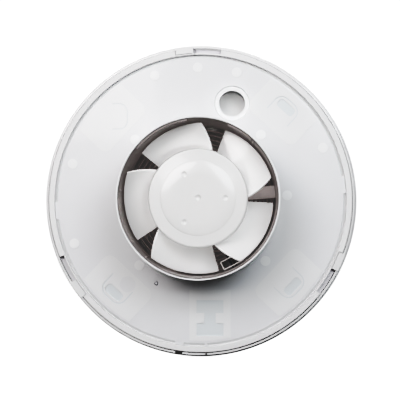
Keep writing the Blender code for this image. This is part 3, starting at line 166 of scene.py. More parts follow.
# Back plate and duct spigot, one glossy white moulding. The disc carries four fixing pads with cut
# tongues and thin windows, a strip with a dumb-bell window, and the counterbored hole for the
# cable. Tabs on its edge snap into the body ring.
def turned(name, outline, facets=192):
    """A circle extruded through (radius, depth) points about the fan's axis, and closed."""
    least_radius, weld = 0.0001, 0.000002
    radius, depth = max(outline[0][0], least_radius), outline[0][1]
    bpy.ops.mesh.primitive_circle_add(vertices=facets, radius=radius / 1000,
                                      location=(0, -depth / 1000, 0), rotation=(math.pi / 2, 0, 0))
    piece = bpy.context.object
    piece.name = piece.data.name = name
    bpy.ops.object.transform_apply(location=True, rotation=True, scale=True)
    bpy.ops.object.mode_set(mode="EDIT")
    bpy.ops.mesh.select_all(action="SELECT")
    for next_radius, next_depth in outline[1:]:
        next_radius = max(next_radius, least_radius)
        share = next_radius / radius
        bpy.ops.mesh.extrude_edges_move()
        bpy.ops.transform.resize(value=(share, 1, share), center_override=(0, 0, 0))
        bpy.ops.transform.translate(value=(0, (depth - next_depth) / 1000, 0))
        radius, depth = next_radius, next_depth
    bpy.ops.mesh.select_all(action="SELECT")
    bpy.ops.mesh.remove_doubles(threshold=weld)
    bpy.ops.mesh.normals_make_consistent(inside=False)
    bpy.ops.object.mode_set(mode="OBJECT")
    return piece


def arc(centre, radius, start, end, steps=6):
    """The (radius, depth) points of a rounded corner in an outline."""
    points = []
    for step in range(steps + 1):
        turn = math.radians(start + (end - start) * step / steps)
        points.append((centre[0] + radius * math.cos(turn), centre[1] + radius * math.sin(turn)))
    return points


def turn_about_axis(piece, angle):
    """Turns a piece that was made to the right of the axis to its angle."""
    bpy.ops.object.select_all(action="DESELECT")
    piece.select_set(True)
    bpy.context.view_layer.objects.active = piece
    piece.rotation_euler = (0, -math.radians(angle), 0)
    bpy.ops.object.transform_apply(location=False, rotation=True, scale=False)


def block(name, along, across, depths, corner=0.0, angle=0.0, segments=8):
    """A block with its edges along the fan's axis rounded, moved out and turned to an angle."""
    size = (along[1] - along[0], depths[1] - depths[0], across[1] - across[0])
    middle = ((along[0] + along[1]) / 2, -(depths[0] + depths[1]) / 2, (across[0] + across[1]) / 2)
    bpy.ops.mesh.primitive_cube_add(size=1, location=[value / 1000 for value in middle],
                                    scale=[value / 1000 for value in size])
    piece = bpy.context.object
    piece.name = piece.data.name = name
    bpy.ops.object.transform_apply(location=True, rotation=True, scale=True)
    if corner:
        level = 0.00001
        bpy.ops.object.mode_set(mode="EDIT")
        bpy.ops.mesh.select_mode(type="EDGE")
        bpy.ops.mesh.select_all(action="DESELECT")
        bpy.ops.object.mode_set(mode="OBJECT")
        for edge in piece.data.edges:
            start, end = (piece.data.vertices[place].co for place in edge.vertices)
            edge.select = abs(start.y - end.y) > level
        bpy.ops.object.mode_set(mode="EDIT")
        bpy.ops.mesh.bevel(offset=corner / 1000, segments=segments, affect="EDGES")
        bpy.ops.object.mode_set(mode="OBJECT")
    turn_about_axis(piece, angle)
    return piece


def peg(name, radius, depths, distance=0.0, angle=0.0, facets=48):
    """A round bar along the fan's axis, at a distance and angle from it."""
    turn = math.radians(angle)
    place = (distance * math.cos(turn) / 1000, -(depths[0] + depths[1]) / 2000,
             distance * math.sin(turn) / 1000)
    bpy.ops.mesh.primitive_cylinder_add(vertices=facets, radius=radius / 1000,
                                        depth=(depths[1] - depths[0]) / 1000, location=place,
                                        rotation=(math.pi / 2, 0, 0))
    piece = bpy.context.object
    piece.name = piece.data.name = name
    bpy.ops.object.transform_apply(location=True, rotation=True, scale=True)
    return piece


def move_out(piece, distance, angle):
    """Moves a piece that was made on the axis out to a distance and angle from it."""
    turn = math.radians(angle)
    bpy.ops.object.select_all(action="DESELECT")
    piece.select_set(True)
    piece.location = (distance * math.cos(turn) / 1000, 0, distance * math.sin(turn) / 1000)
    bpy.ops.object.transform_apply(location=True, rotation=False, scale=False)


def shape_with(piece, tools, operation):
    """Adds the forms of tools that are clear of each other to a piece, or takes them away."""
    bpy.ops.object.select_all(action="DESELECT")
    tool = tools[0]
    for form in tools:
        form.select_set(True)
    bpy.context.view_layer.objects.active = tool
    if len(tools) > 1:
        bpy.ops.object.join()
    change = piece.modifiers.new("shape", "BOOLEAN")
    change.operation = operation
    change.solver = "EXACT"
    change.object = tool
    bpy.ops.object.select_all(action="DESELECT")
    bpy.context.view_layer.objects.active = piece
    bpy.ops.object.modifier_apply(modifier="shape")
    bpy.data.objects.remove(tool)


def soften(piece, width, angle=35, segments=2):
    """Rounds a piece's sharp edges, and gives its flats an even shade."""
    bpy.ops.object.select_all(action="DESELECT")
    piece.select_set(True)
    bpy.context.view_layer.objects.active = piece
    edge = piece.modifiers.new("edges", "BEVEL")
    edge.width = width / 1000
    edge.segments = segments
    edge.limit_method = "ANGLE"
    edge.angle_limit = math.radians(angle)
    bpy.ops.object.modifier_apply(modifier="edges")
    bpy.ops.object.shade_smooth_by_angle(angle=math.radians(50))
    even = piece.modifiers.new("even", "WEIGHTED_NORMAL")
    even.keep_sharp = True
    bpy.ops.object.modifier_apply(modifier="even")


def paint(piece, finish):
    piece.data.materials.clear()
    piece.data.materials.append(finish)


def moulded(name, pale, deep, roughness, coat=0.0, patch=45, grain=0.3):
    """Moulded plastic that drifts between two near shades over patches, with a fine grain (mm)."""
    rubs_per_metre = 140
    finish = bpy.data.materials.new(name)
    finish.use_nodes = True
    nodes, links = finish.node_tree.nodes, finish.node_tree.links
    shader = nodes["Principled BSDF"]
    shader.inputs["Coat Weight"].default_value = coat
    shader.inputs["Coat Roughness"].default_value = 0.06
    where = nodes.new("ShaderNodeTexCoord").outputs["Object"]
    drift = nodes.new("ShaderNodeTexNoise")
    drift.inputs["Scale"].default_value = 1000 / patch
    drift.inputs["Detail"].default_value = 3
    shade = nodes.new("ShaderNodeValToRGB")
    shade.name = "shade"
    shade.color_ramp.elements[0].position = 0.35
    shade.color_ramp.elements[0].color = (*deep, 1)
    shade.color_ramp.elements[1].position = 0.65
    shade.color_ramp.elements[1].color = (*pale, 1)
    rub = nodes.new("ShaderNodeTexNoise")
    rub.inputs["Scale"].default_value = rubs_per_metre
    rub.inputs["Detail"].default_value = 5
    gloss = nodes.new("ShaderNodeMapRange")
    gloss.inputs["From Min"].default_value = 0.3
    gloss.inputs["From Max"].default_value = 0.7
    gloss.inputs["To Min"].default_value = roughness * 0.92
    gloss.inputs["To Max"].default_value = roughness * 1.08
    spark = nodes.new("ShaderNodeTexNoise")
    spark.inputs["Scale"].default_value = 1000 / grain
    spark.inputs["Detail"].default_value = 2
    relief = nodes.new("ShaderNodeBump")
    relief.inputs["Strength"].default_value = 0.03
    relief.inputs["Distance"].default_value = 0.00002
    for pattern in (drift, rub, spark):
        links.new(where, pattern.inputs["Vector"])
    links.new(drift.outputs["Fac"], shade.inputs["Fac"])
    links.new(shade.outputs["Color"], shader.inputs["Base Color"])
    links.new(rub.outputs["Fac"], gloss.inputs["Value"])
    links.new(gloss.outputs["Result"], shader.inputs["Roughness"])
    links.new(spark.outputs["Fac"], relief.inputs["Height"])
    links.new(relief.outputs["Normal"], shader.inputs["Normal"])
    return finish


def tint_by_depth(finish, depths, *stops, glow=0.0):
    """Paints shade and light by depth: multiplies a moulding's colour by a tone that follows its
    depth.

    With a glow, the tone is instead painted light, given out as an emission.
    """
    nodes, links = finish.node_tree.nodes, finish.node_tree.links
    shader = nodes["Principled BSDF"]
    depth = nodes.new("ShaderNodeSeparateXYZ")
    share = nodes.new("ShaderNodeMapRange")
    share.inputs["From Min"].default_value = -depths[0] / 1000
    share.inputs["From Max"].default_value = -depths[1] / 1000
    tone = nodes.new("ShaderNodeValToRGB")
    first, last = tone.color_ramp.elements
    first.position, first.color = stops[0][0], (*stops[0][1], 1)
    last.position, last.color = stops[-1][0], (*stops[-1][1], 1)
    for position, colour in stops[1:-1]:
        tone.color_ramp.elements.new(position).color = (*colour, 1)
    links.new(nodes["Texture Coordinate"].outputs["Object"], depth.inputs[0])
    links.new(depth.outputs["Y"], share.inputs["Value"])
    links.new(share.outputs["Result"], tone.inputs["Fac"])
    if glow:
        shader.inputs["Emission Strength"].default_value = glow
        links.new(tone.outputs["Color"], shader.inputs["Emission Color"])
        return
    blend = nodes.new("ShaderNodeMix")
    blend.data_type = "RGBA"
    blend.blend_type = "MULTIPLY"
    blend.inputs[0].default_value = 1
    links.new(nodes["shade"].outputs["Color"], blend.inputs[6])
    links.new(tone.outputs["Color"], blend.inputs[7])
    links.new(blend.outputs[2], shader.inputs["Base Color"])


# The ejector marks, the thicker pads, the disc and the thin floors of the windows lie one below the
# other. Painted light and shade follow that depth: the raised marks are painted lighter than white,
# and the disc and the window floors a little darker each, the window floors with a bluish tint too.
plate_white = moulded("plate_white", (0.86, 0.865, 0.86), (0.84, 0.843, 0.84), 0.3, coat=0.4)
mark_painted_light, pad_tone = (1.08, 1.08, 1.08), (1, 1, 1)
disc_painted_shade, window_painted_shade_and_tint = (0.95, 0.95, 0.962), (0.88, 0.915, 0.93)
tint_by_depth(plate_white, (-0.2, -1.2), (0.32, mark_painted_light), (0.38, pad_tone), (0.44, pad_tone),
              (0.54, disc_painted_shade), (0.7, disc_painted_shade), (0.82, window_painted_shade_and_tint), (0.93, window_painted_shade_and_tint),
              (0.97, pad_tone))

# Places are (distance from the axis, angle), and depths run from the room to the duct.
cable_place = (63.9, 71.7)
plate_screw_place = (58.9, -117.6)
pad_depths = (-1.2, -0.6)
mark_depths = (-1.2, -0.5)
tongue_depths = (-1, 0.6)
window_depths = (-1.1, 0.6)
past_tongue = (-1.5, 1)
through_plate = (-5, 2)
plate = turned("back_plate_moulding", [
    (48.5, -2.8), (48.5, 34.8), (48.7, 35), (49.3, 35), (49.5, 34.8),
    *arc((51.1, 0.8), 1.6, 180, 270),
    (89.2, -0.8), (89.6, -0.95), (90.8, -2.5), (91.25, -2.6), (91.25, -2.8),
    (48.5, -2.8)])
pads = [block("pad", (62.7, 95), (-19.4, 19.4), pad_depths, 5, angle)
        for angle in (47, 137, 227, 317)]
pads.append(block("strip", (-6.65, 19.05), (-92, -56.1), pad_depths))
for pad in pads:
    shape_with(pad, [peg("pad_edge", 88, (-2, 1), facets=192)], "INTERSECT")
ejector_places = ((83.4, -161), (83.4, -196), (83.4, -250), (83.4, -269), (83.4, -286),
                  (83.4, -337), (54.5, 3), (55.8, -43), (55.8, -133), (55.8, -223), (55.8, -313))
pads += [peg("ejector_mark", 3.1, mark_depths, *place) for place in ejector_places]
shape_with(plate, pads, "UNION")
tabs = [block("tab", (88, 91.15), (-half, half), (-2.8, -0.9), angle=angle)
        for angle, half in ((6, 5.4), (184.2, 5.4), (-98.2, 2.7), (-87.7, 1.1))]
shape_with(plate, tabs, "UNION")
seat = turned("cable_seat", [(0, 1), (11.2, 1), (11.2, -0.7), (10.7, -1.9), (0, -1.9)], 64)
move_out(seat, *cable_place)
shape_with(plate, [seat], "DIFFERENCE")
cuts = [peg("cable_hole", 8.15, through_plate, *cable_place, 64),
        peg("screw_hole", 1.25, through_plate, *plate_screw_place, 32)]
for angle in (47, 227, 317):
    tongue = block("tongue", (60, 84), (-8.8, 8.8), tongue_depths, 6, angle)
    inside = block("inside", (59, 83.3), (-8.1, 8.1), past_tongue, 5.3, angle)
    shape_with(tongue, [inside], "DIFFERENCE")
    root = block("root", (50, 70.8), (-12, 12), past_tongue, angle=angle)
    shape_with(tongue, [root], "DIFFERENCE")
    cuts += [tongue, block("window", (76.2, 81.8), (-6.15, 6.15), window_depths, 2, angle)]
tongue = block("tongue", (-70, -45.3), (44.4, 61), tongue_depths, 5.5)
shape_with(tongue, [block("inside", (-71, -46), (45.1, 60.3), past_tongue, 4.8)], "DIFFERENCE")
shape_with(tongue, [block("root", (-80, -55.2), (40, 66), past_tongue)], "DIFFERENCE")
cuts += [tongue, peg("wide_mark", 5, (-0.75, 0.6), 69.5, -130.7)]
cuts += [block("bar", (-2.2, 14.6), across, window_depths)
         for across in ((-70.5, -62.6), (-84.8, -76.9))]
shape_with(plate, cuts, "DIFFERENCE")
stem = block("stem", (2.65, 9.75), (-77.2, -70.2), window_depths)
shape_with(plate, [stem], "DIFFERENCE")
soften(plate, 0.12)
paint(plate, plate_white)
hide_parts("back_plate")
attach(plate, "housing")


# Body ring and floor, one satin white moulding that everything is fixed to. The cover's hooks turn
# into the three slots in its edge, the collar behind it centres the motor mount, and the walls of
# the terminal box stand on its floor.
def sector(name, radii, depths, angle, span, steps=16):
    """A small plane swept about the fan's axis, centred on an angle."""
    middle = ((radii[0] + radii[1]) / 2000, -(depths[0] + depths[1]) / 2000, 0)
    size = ((radii[1] - radii[0]) / 1000, (depths[1] - depths[0]) / 1000, 1)
    bpy.ops.mesh.primitive_plane_add(size=1, location=middle)
    piece = bpy.context.object
    piece.name = piece.data.name = name
    piece.scale = size
    bpy.ops.object.transform_apply(location=True, rotation=True, scale=True)
    bpy.ops.object.mode_set(mode="EDIT")
    bpy.ops.mesh.select_all(action="SELECT")
    bpy.ops.mesh.spin(steps=steps, angle=math.radians(span), center=(0, 0, 0), axis=(0, 1, 0))
    bpy.ops.mesh.select_all(action="SELECT")
    bpy.ops.mesh.normals_make_consistent(inside=False)
    bpy.ops.object.mode_set(mode="OBJECT")
    turn_about_axis(piece, angle - span / 2)
    return piece


def lead_way(start):
    """The slot by which the two leads cross a wall of the bore, cut from a distance outwards."""
    return block("lead_way", (start, 52), (-3.1, 3.1), (-9.55, -6.35), angle=lead_angle)


lead_angle = -62.5
box_angle = 72.4
boss_distance, boss_angles = 57, (30, 150, 270)
hook_turns = (0, 120, 240)
ring = turned("body_ring", [
    (48.8, -10.9), (48.8, -3.1), (91.3, -3.1), (91.3, -0.3), (91.6, 0), (94.7, 0), (95, -0.3),
    (95, -4.8), (94.7, -5.1), (50.3, -5.1), (50.3, -10.9), (48.8, -10.9)])
bosses = [peg("boss", 3, (-10.9, -4.7), boss_distance, angle) for angle in boss_angles]
bosses.append(peg("plate_boss", 3, (-6.7, -4.7), *plate_screw_place))
bosses.append(block("box_walls", (54, 81.4), (-32.4, 11.4), (-19, -4.7), 2, box_angle))
shape_with(ring, bosses, "UNION")
box_room = block("box_room", (55.4, 80), (-31, 10), (-20, -5.1), angle=box_angle)
shape_with(ring, [box_room], "DIFFERENCE")
lid_post = math.hypot(77, 7), box_angle + math.degrees(math.atan2(7, 77))
shape_with(ring, [peg("lid_post", 3, (-19, -4.7), *lid_post)], "UNION")
cuts = [peg("cable_way", 8.15, (-7, 0), *cable_place, 64),
        peg("plate_screw_way", 1.5, (-8, 0), *plate_screw_place),
        peg("lid_screw_way", 1.5, (-20, -5.4), *lid_post), lead_way(45)]
cuts += [peg("mount_screw_way", 1.5, (-12, -5.4), boss_distance, angle) for angle in boss_angles]
cuts += [peg("drain", 0.65, (-7, 0), 89.75, angle, 24) for angle in (1.9, 188.3)]
cuts += [sector("hook_seat", (92.2, 96), (-3.6, 1), -29.2 + turn, 17.6) for turn in hook_turns]
shape_with(ring, cuts, "DIFFERENCE")
entries = [sector("hook_entry", (93, 96), (-4.85, 1), angle, span)
           for angle, span in ((-27.9, 1), (91.9, 0.7), (202.5, 1), (82.2, 0.5))]
shape_with(ring, entries, "DIFFERENCE")
soften(ring, 0.15)
body_white = moulded("body_white", (0.83, 0.83, 0.822), (0.81, 0.81, 0.805), 0.38)
# Painted shade: the ring's surfaces 2.5 to 5 mm into the room, the groove and hook seats among
# them, are painted greyer.
edge_tone, seat_painted_shade = (1, 1, 1), (0.84, 0.83, 0.86)
tint_by_depth(body_white, (-1, -6), (0.1, edge_tone), (0.3, seat_painted_shade), (0.8, seat_painted_shade),
              (0.95, edge_tone))
paint(ring, body_white)
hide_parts("chassis")
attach(ring, "housing")


# Motor mount, one dark satin moulding. Its liner lines the spigot's bore, a bell at the inlet
# leads the air in, and three arms cross the air way to the round pod that holds the motor.
motor_screw_distance, motor_screw_angles = 24.3, (45, 225)
mount = turned("motor_mount_moulding", [
    (47.2, 29), (48.1, 34), (48.2, 34), (48.2, -11.2), (53.2, -11.2), (53.2, -13.2),
    *arc((50.2, -10.2), 3, 270, 180, 8), (47.2, 29)])
pod = turned("pod", [
    (0, -17.5), *arc((27, -14.5), 3, 270, 360, 8), (30, 6.5), (28.5, 6.5), (28.5, -14.5),
    *arc((27, -14.5), 1.5, 360, 270, 4), (0, -16)], 128)
shape_with(mount, [pod], "UNION")
ear_depths = (-12.8, -11.6)
arms = [block("arm", (29.25, 47.7), (-1.8, 5.9), (-11.9, -5.4), angle=angle)
        for angle in (4, 124, 244)]
liner_ribs = [block("liner_rib", (46.75, 47.9), (-0.35, 0.35), (-5, 33.2), angle=angle)
              for angle in (-42, -52, -86.5, -131.5, -178, -186, -223.5, -314.5)]
rims = [sector("rim", (46.95, 48.15), (28, 34.2), angle, span, 48)
        for angle, span in ((-240.5, 43), (-302, 20), (-163, 34))]
ears = [block("ear", (50.7, boss_distance), (-3.8, 3.8), ear_depths, angle=angle)
        for angle in boss_angles]
ear_ends = [peg("ear_end", 3.8, ear_depths, boss_distance, angle) for angle in boss_angles]
motor_posts = [peg("motor_post", 2.65, (-16.4, -12.3), motor_screw_distance, angle)
               for angle in motor_screw_angles]
for forms in (arms, liner_ribs, rims, ears, ear_ends, motor_posts):
    shape_with(mount, forms, "UNION")
cuts = [peg("ear_way", 1.5, (-15, -10), boss_distance, angle) for angle in boss_angles]
cuts += [peg("motor_post_way", 1.55, (-15.7, -10), motor_screw_distance, angle)
         for angle in motor_screw_angles]
cuts.append(lead_way(27))
shape_with(mount, cuts, "DIFFERENCE")
soften(mount, 0.2)
dark_plastic = moulded("dark_plastic", (0.29, 0.276, 0.27), (0.25, 0.237, 0.232), 0.35, patch=12)
# Painted shade: the top edge of the liner is painted darker.
tint_by_depth(dark_plastic, (34.5, -20), (0.006, (0.75, 0.75, 0.75)), (0.02, (1, 1, 1)))
# Painted light: the whole mount glows faintly, and the arms' faces most, so that they show lit in
# the shaded bore.
liner_painted_light, arm_painted_light = (0.33, 0.3, 0.295), (1, 0.93, 0.92)
tint_by_depth(dark_plastic, (-5, -6), (0.1, liner_painted_light), (0.25, arm_painted_light), (0.6, arm_painted_light),
              (0.8, liner_painted_light), glow=0.155)
dark_plastic.node_tree.nodes["Principled BSDF"].inputs["Specular IOR Level"].default_value = 0.02
paint(mount, dark_plastic)
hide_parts("motor_mount")
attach(mount, "housing")


# Inlet guard, one dark moulding of thin rings on three spokes. Its outer ring seats on the mount's
# flange, and the rings show between the blades.
ring_count = 6
first_ring, ring_reach = 30.3, 16.9
guard = turned("guard_rings", [
    (50.2, -14.7), (52.8, -14.7), (52.8, -13.5), (50.2, -13.5), (50.2, -14.7)])
rings = [guard]
for number in range(ring_count):
    inner = first_ring + number * ring_reach / ring_count
    rings.append(turned("guard_ring", [
        (inner, -14.5), (inner + 0.2, -14.7), (inner + 0.8, -14.7), (inner + 1, -14.5),
        (inner + 1, -13.7), (inner + 0.8, -13.5), (inner + 0.2, -13.5), (inner, -13.7),
        (inner, -14.5)], 128))
bpy.ops.object.select_all(action="DESELECT")
for piece in rings:
    piece.select_set(True)
bpy.context.view_layer.objects.active = guard
bpy.ops.object.join()
spokes = [block("spoke", (30.8, 51.5), (-0.6, 0.6), (-14.4, -13.8), angle=angle)
          for angle in (6, 126, 246)]
shape_with(guard, spokes, "UNION")
soften(guard, 0.1)
guard_plastic = moulded("guard_plastic", (0.3, 0.27, 0.264), (0.24, 0.217, 0.213), 0.25, patch=8)
guard_shader = guard_plastic.node_tree.nodes["Principled BSDF"]
# Painted light: the rings glow faintly, so that they show between the blades in the shaded bore.
guard_shader.inputs["Emission Color"].default_value = (0.9, 0.82, 0.8, 1)
guard_shader.inputs["Emission Strength"].default_value = 0.075
paint(guard, guard_plastic)
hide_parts("inlet_guard")
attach(guard, "housing")


# Guide for the motor's leads, a short square duct in thin white plastic that is pushed on to the
# bore's wall. It stands open towards the duct.
guide = block("lead_guide_duct", (40.1, 46.06), (-7.1, 7.1), (-13.2, -2.7), 0.6, lead_angle, 3)
guide_room = block("guide_room", (40.9, 45.26), (-6.3, 6.3), (-12.4, 0), angle=lead_angle)
shape_with(guide, [guide_room], "DIFFERENCE")
shape_with(guide, [lead_way(38)], "DIFFERENCE")
soften(guide, 0.1)
guide_white = moulded("guide_white", (0.86, 0.85, 0.84), (0.82, 0.81, 0.8), 0.3, patch=6)
# Painted light: the top edge of the guide's walls glows, fading out about a millimetre below it.
tint_by_depth(guide_white, (-2.6, -4.6), (0.3, (1, 0.97, 0.95)), (0.6, (0, 0, 0)), glow=0.2)
paint(guide, guide_white)
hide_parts("lead_guide")
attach(guide, "housing")


# Impeller, one glossy white moulding: a deep hub with a slightly domed crown, and five swept and
# cambered blades. It is pushed on to the motor's shaft.
crown_steps = 8
crown_top, crown_drop = 34.8, 0.8
crown = [(0, crown_top)]
for step in range(crown_steps + 1):
    share = step / crown_steps
    crown.append((14.5 + 7.8 * share, crown_top - crown_drop * share**2))
hub = turned("impeller_moulding", [
    *crown, (22.55, 33.85), (22.8, 33.65), (28.5, 33.4), *arc((28.6, 32), 1.4, 88, 0), (30, 8),
    (28.6, 8), (28.6, 29.7), (21.3, 32.4), (4.5, 32.4), (4.5, 21.6), (2.3, 21.6), (2.3, 33),
    (0, 33)])
blade_count, first_blade = 5, -2.7
blade_root, blade_reach = 29.3, 16.6
root_sweep, sweep_loss = 68.5, 15
blade_edge, blade_height, blade_camber = 10, 19, 2.2
blades = []
for number in range(blade_count):
    bpy.ops.mesh.primitive_grid_add(x_subdivisions=30, y_subdivisions=10, size=1)
    blade = bpy.context.object
    blade.name = blade.data.name = "blade"
    for vertex in blade.data.vertices:
        chord, share = vertex.co.x + 0.5, vertex.co.y + 0.5
        radius = blade_root + blade_reach * share
        sweep = (root_sweep - sweep_loss * share) * chord
        turn = math.radians(first_blade - 360 / blade_count * number - sweep)
        depth = blade_edge + blade_height * chord - blade_camber * math.sin(math.pi * chord)
        vertex.co = (radius * math.cos(turn) / 1000, -depth / 1000, radius * math.sin(turn) / 1000)
    wall = blade.modifiers.new("wall", "SOLIDIFY")
    wall.thickness = 1.4 / 1000
    wall.offset = 0
    bpy.ops.object.modifier_apply(modifier="wall")
    bpy.ops.object.mode_set(mode="EDIT")
    bpy.ops.mesh.select_all(action="SELECT")
    bpy.ops.mesh.normals_make_consistent(inside=False)
    bpy.ops.object.mode_set(mode="OBJECT")
    rounding = blade.modifiers.new("rounding", "BEVEL")
    rounding.width = 0.4 / 1000
    rounding.segments = 3
    rounding.limit_method = "ANGLE"
    rounding.angle_limit = math.radians(50)
    bpy.ops.object.modifier_apply(modifier="rounding")
    blades.append(blade)
shape_with(hub, blades, "UNION")
dimples = []
for depth, distance, angle in ((37, 0, 0), (37.2, 16.8, 0), (37.2, 16.8, 120), (37.2, 16.8, 240)):
    bpy.ops.mesh.primitive_uv_sphere_add(segments=32, ring_count=32, radius=3 / 1000,
                                         location=(0, -depth / 1000, 0))
    dimple = bpy.context.object
    dimple.name = dimple.data.name = "dimple"
    bpy.ops.object.transform_apply(location=True, rotation=False, scale=False)
    move_out(dimple, distance, angle)
    dimples.append(dimple)
shape_with(hub, dimples, "DIFFERENCE")
soften(hub, 0.15, angle=38)
impeller_white = moulded("impeller_white", (0.78, 0.776, 0.767), (0.76, 0.757, 0.75), 0.22,
                         coat=0.5)
# Painted shade: the crown and shoulder of the hub are painted darker than the blades, though they
# are one moulding.
tint_by_depth(impeller_white, (36, 26), (0.4, (0.75, 0.75, 0.75)), (0.55, (1, 1, 1)))
paint(hub, impeller_white)
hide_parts("impeller")
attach(hub, "rotor")


# Front cover, one glossy white moulding: a shallow closed dish that stands off the floor, so that
# air enters all round its rim. Nine posts carry a thin hoop round the body ring, and three legs end
# in hooks that turn into its slots.
dish_steps = 8
dish_face, dish_room, dish_rise, dish_flat = -30.9, -28.7, 3.9, 88
outside = [(0, dish_face)]
inside = [(0, dish_room)]
for step in range(1, dish_steps + 1):
    share = step / dish_steps
    outside.append((dish_flat * share, dish_face + dish_rise * share**2))
    inside.append((dish_flat * share, dish_room + dish_rise * share**2))
for step in range(1, dish_steps + 1):
    turn = math.radians(90 - 90 * step / dish_steps)
    outside.append((dish_flat + 10.4 * math.cos(turn), -17.5 - 9.5 * math.sin(turn)))
    inside.append((dish_flat + 8.2 * math.cos(turn), -17.5 - 7.3 * math.sin(turn)))
cover = turned("front_cover_dish", [
    *outside, (98.4, -12.3), (98, -11.9), (96.4, -11.9), (96.2, -12.1), *reversed(inside)], 256)
hook_angle, hook_span = -24, 6.8
legs = [sector("leg", (95.3, 96.6), (-15.9, -0.3), hook_angle + turn, hook_span)
        for turn in hook_turns]
shape_with(cover, legs, "UNION")
hooks = [sector("hook", (92.5, 95.6), (-2.2, -0.3), hook_angle + turn, hook_span)
         for turn in hook_turns]
shape_with(cover, hooks, "UNION")
hoop = peg("hoop", 96.4, (-4.4, -1.4), 0.3, -90, 256)
shape_with(hoop, [peg("hoop_bore", 95.4, (-6, 0), 0.12, -90, 256)], "DIFFERENCE")
lips = [sector("hoop_lip", (95.05, 96), (-4.4, -3.2), angle, span, 120)
        for angle, span in ((-7.5, 65), (162.5, 205))]
shape_with(hoop, lips, "UNION")
shape_with(cover, [hoop], "UNION")
posts = [sector("post", (95.7, 96.9), (-12.4, -4), hook_angle + turn, 2, 4)
         for turn in range(30, 360, 30) if turn % 120]
shape_with(cover, posts, "UNION")
cuts = [block("notch", (95.2, 100), (-2.3, 2.3), (-5, 0), angle=-98),
        block("mark", (95.2, 100), (-0.65, 0.65), (-5, 0), angle=-87.7)]
cuts += [sector("seat_gap", (94.9, 95.4), (-5, 0), -32.9 + turn, 10.2) for turn in hook_turns]
shape_with(cover, cuts, "DIFFERENCE")
soften(cover, 0.25)
cover_white = moulded("cover_white", (0.85, 0.85, 0.843), (0.832, 0.832, 0.826), 0.2, coat=0.6,
                      patch=70)
paint(cover, cover_white)
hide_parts("front_cover")
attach(cover, "cover")


# Fasteners: zinc-plated pan-head screws with a cross recess and a rolled thread. One holds the back
# plate from the room side, three hold the motor mount, one the terminal lid and two the motor.
def worked_metal(name, pale, deep, roughness, stretch=(1, 1, 1), streak=0.25, relief=0.00001):
    """Metal with fine tool marks, drawn out along an axis, and small changes of shade and gloss."""
    finish = bpy.data.materials.new(name)
    finish.use_nodes = True
    nodes, links = finish.node_tree.nodes, finish.node_tree.links
    shader = nodes["Principled BSDF"]
    shader.inputs["Metallic"].default_value = 1
    where = nodes.new("ShaderNodeTexCoord")
    draw = nodes.new("ShaderNodeMapping")
    draw.inputs["Scale"].default_value = stretch
    marks = nodes.new("ShaderNodeTexNoise")
    marks.inputs["Scale"].default_value = 1000 / streak
    marks.inputs["Detail"].default_value = 4
    shade = nodes.new("ShaderNodeValToRGB")
    shade.color_ramp.elements[0].position = 0.3
    shade.color_ramp.elements[0].color = (*deep, 1)
    shade.color_ramp.elements[1].position = 0.7
    shade.color_ramp.elements[1].color = (*pale, 1)
    gloss = nodes.new("ShaderNodeMapRange")
    gloss.inputs["To Min"].default_value = roughness * 0.6
    gloss.inputs["To Max"].default_value = roughness * 1.4
    score = nodes.new("ShaderNodeBump")
    score.inputs["Strength"].default_value = 0.4
    score.inputs["Distance"].default_value = relief
    links.new(where.outputs["Object"], draw.inputs["Vector"])
    links.new(draw.outputs["Vector"], marks.inputs["Vector"])
    links.new(marks.outputs["Fac"], shade.inputs["Fac"])
    links.new(marks.outputs["Fac"], gloss.inputs["Value"])
    links.new(marks.outputs["Fac"], score.inputs["Height"])
    links.new(shade.outputs["Color"], shader.inputs["Base Color"])
    links.new(gloss.outputs["Result"], shader.inputs["Roughness"])
    links.new(score.outputs["Normal"], shader.inputs["Normal"])
    return finish


def dress(finish, *nodes):
    """Gives CAD nodes that keep their shape a finish."""
    for node in nodes:
        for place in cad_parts[node].material_slots:
            place.material = finish


def screw(node, distance, angle, head, tip, diameter=2.4, head_diameter=5.0, head_height=1.6):
    """A cross-head screw from the depth of its head's top to the depth of its tip."""
    side = 1 if tip > head else -1
    core, crest, rim = diameter * 0.4, diameter / 2 - 0.02, head_diameter / 2
    pitch = 0.45
    slot_reach, slot_half = 1.35, 0.22
    outline = [(0, head), (rim * 0.75, head), (rim * 0.93, head + side * head_height * 0.12),
               (rim, head + side * head_height * 0.4), (rim, head + side * head_height),
               (core, head + side * head_height)]
    threads = int((abs(tip - head) - head_height - 0.9) / pitch)
    for turn in range(threads):
        start = head + side * (head_height + 0.3 + pitch * turn)
        outline += [(core, start), (crest, start + side * 0.2), (crest, start + side * 0.26)]
    outline += [(core, tip - side * 0.55), (core * 0.85, tip), (0, tip)]
    piece = turned(node + "_piece", outline, 32)
    recess = sorted((head - side, head + side * 0.9))
    for along, across in ((slot_reach, slot_half), (slot_half, slot_reach)):
        slot = block("recess", (-along, along), (-across, across), recess)
        shape_with(piece, [slot], "DIFFERENCE")
    move_out(piece, distance, angle)
    soften(piece, 0.03, segments=1)
    paint(piece, zinc_steel)
    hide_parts(node)
    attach(piece, "housing")


zinc_steel = worked_metal("zinc_steel", (0.78, 0.79, 0.8), (0.62, 0.63, 0.65), 0.5)
screw("plate_screw", *plate_screw_place, -8.6, -0.5)
for number, angle in enumerate(boss_angles, 1):
    screw(f"mount_screw_{number}", boss_distance, angle, -15.1, -5.7)
screw("terminal_cover_screw", *lid_post, -22.7, -5.7)
for number, angle in enumerate(motor_screw_angles, 1):
    screw(f"motor_screw_{number}", motor_screw_distance, angle, 19.9, -15.1, 2.5)


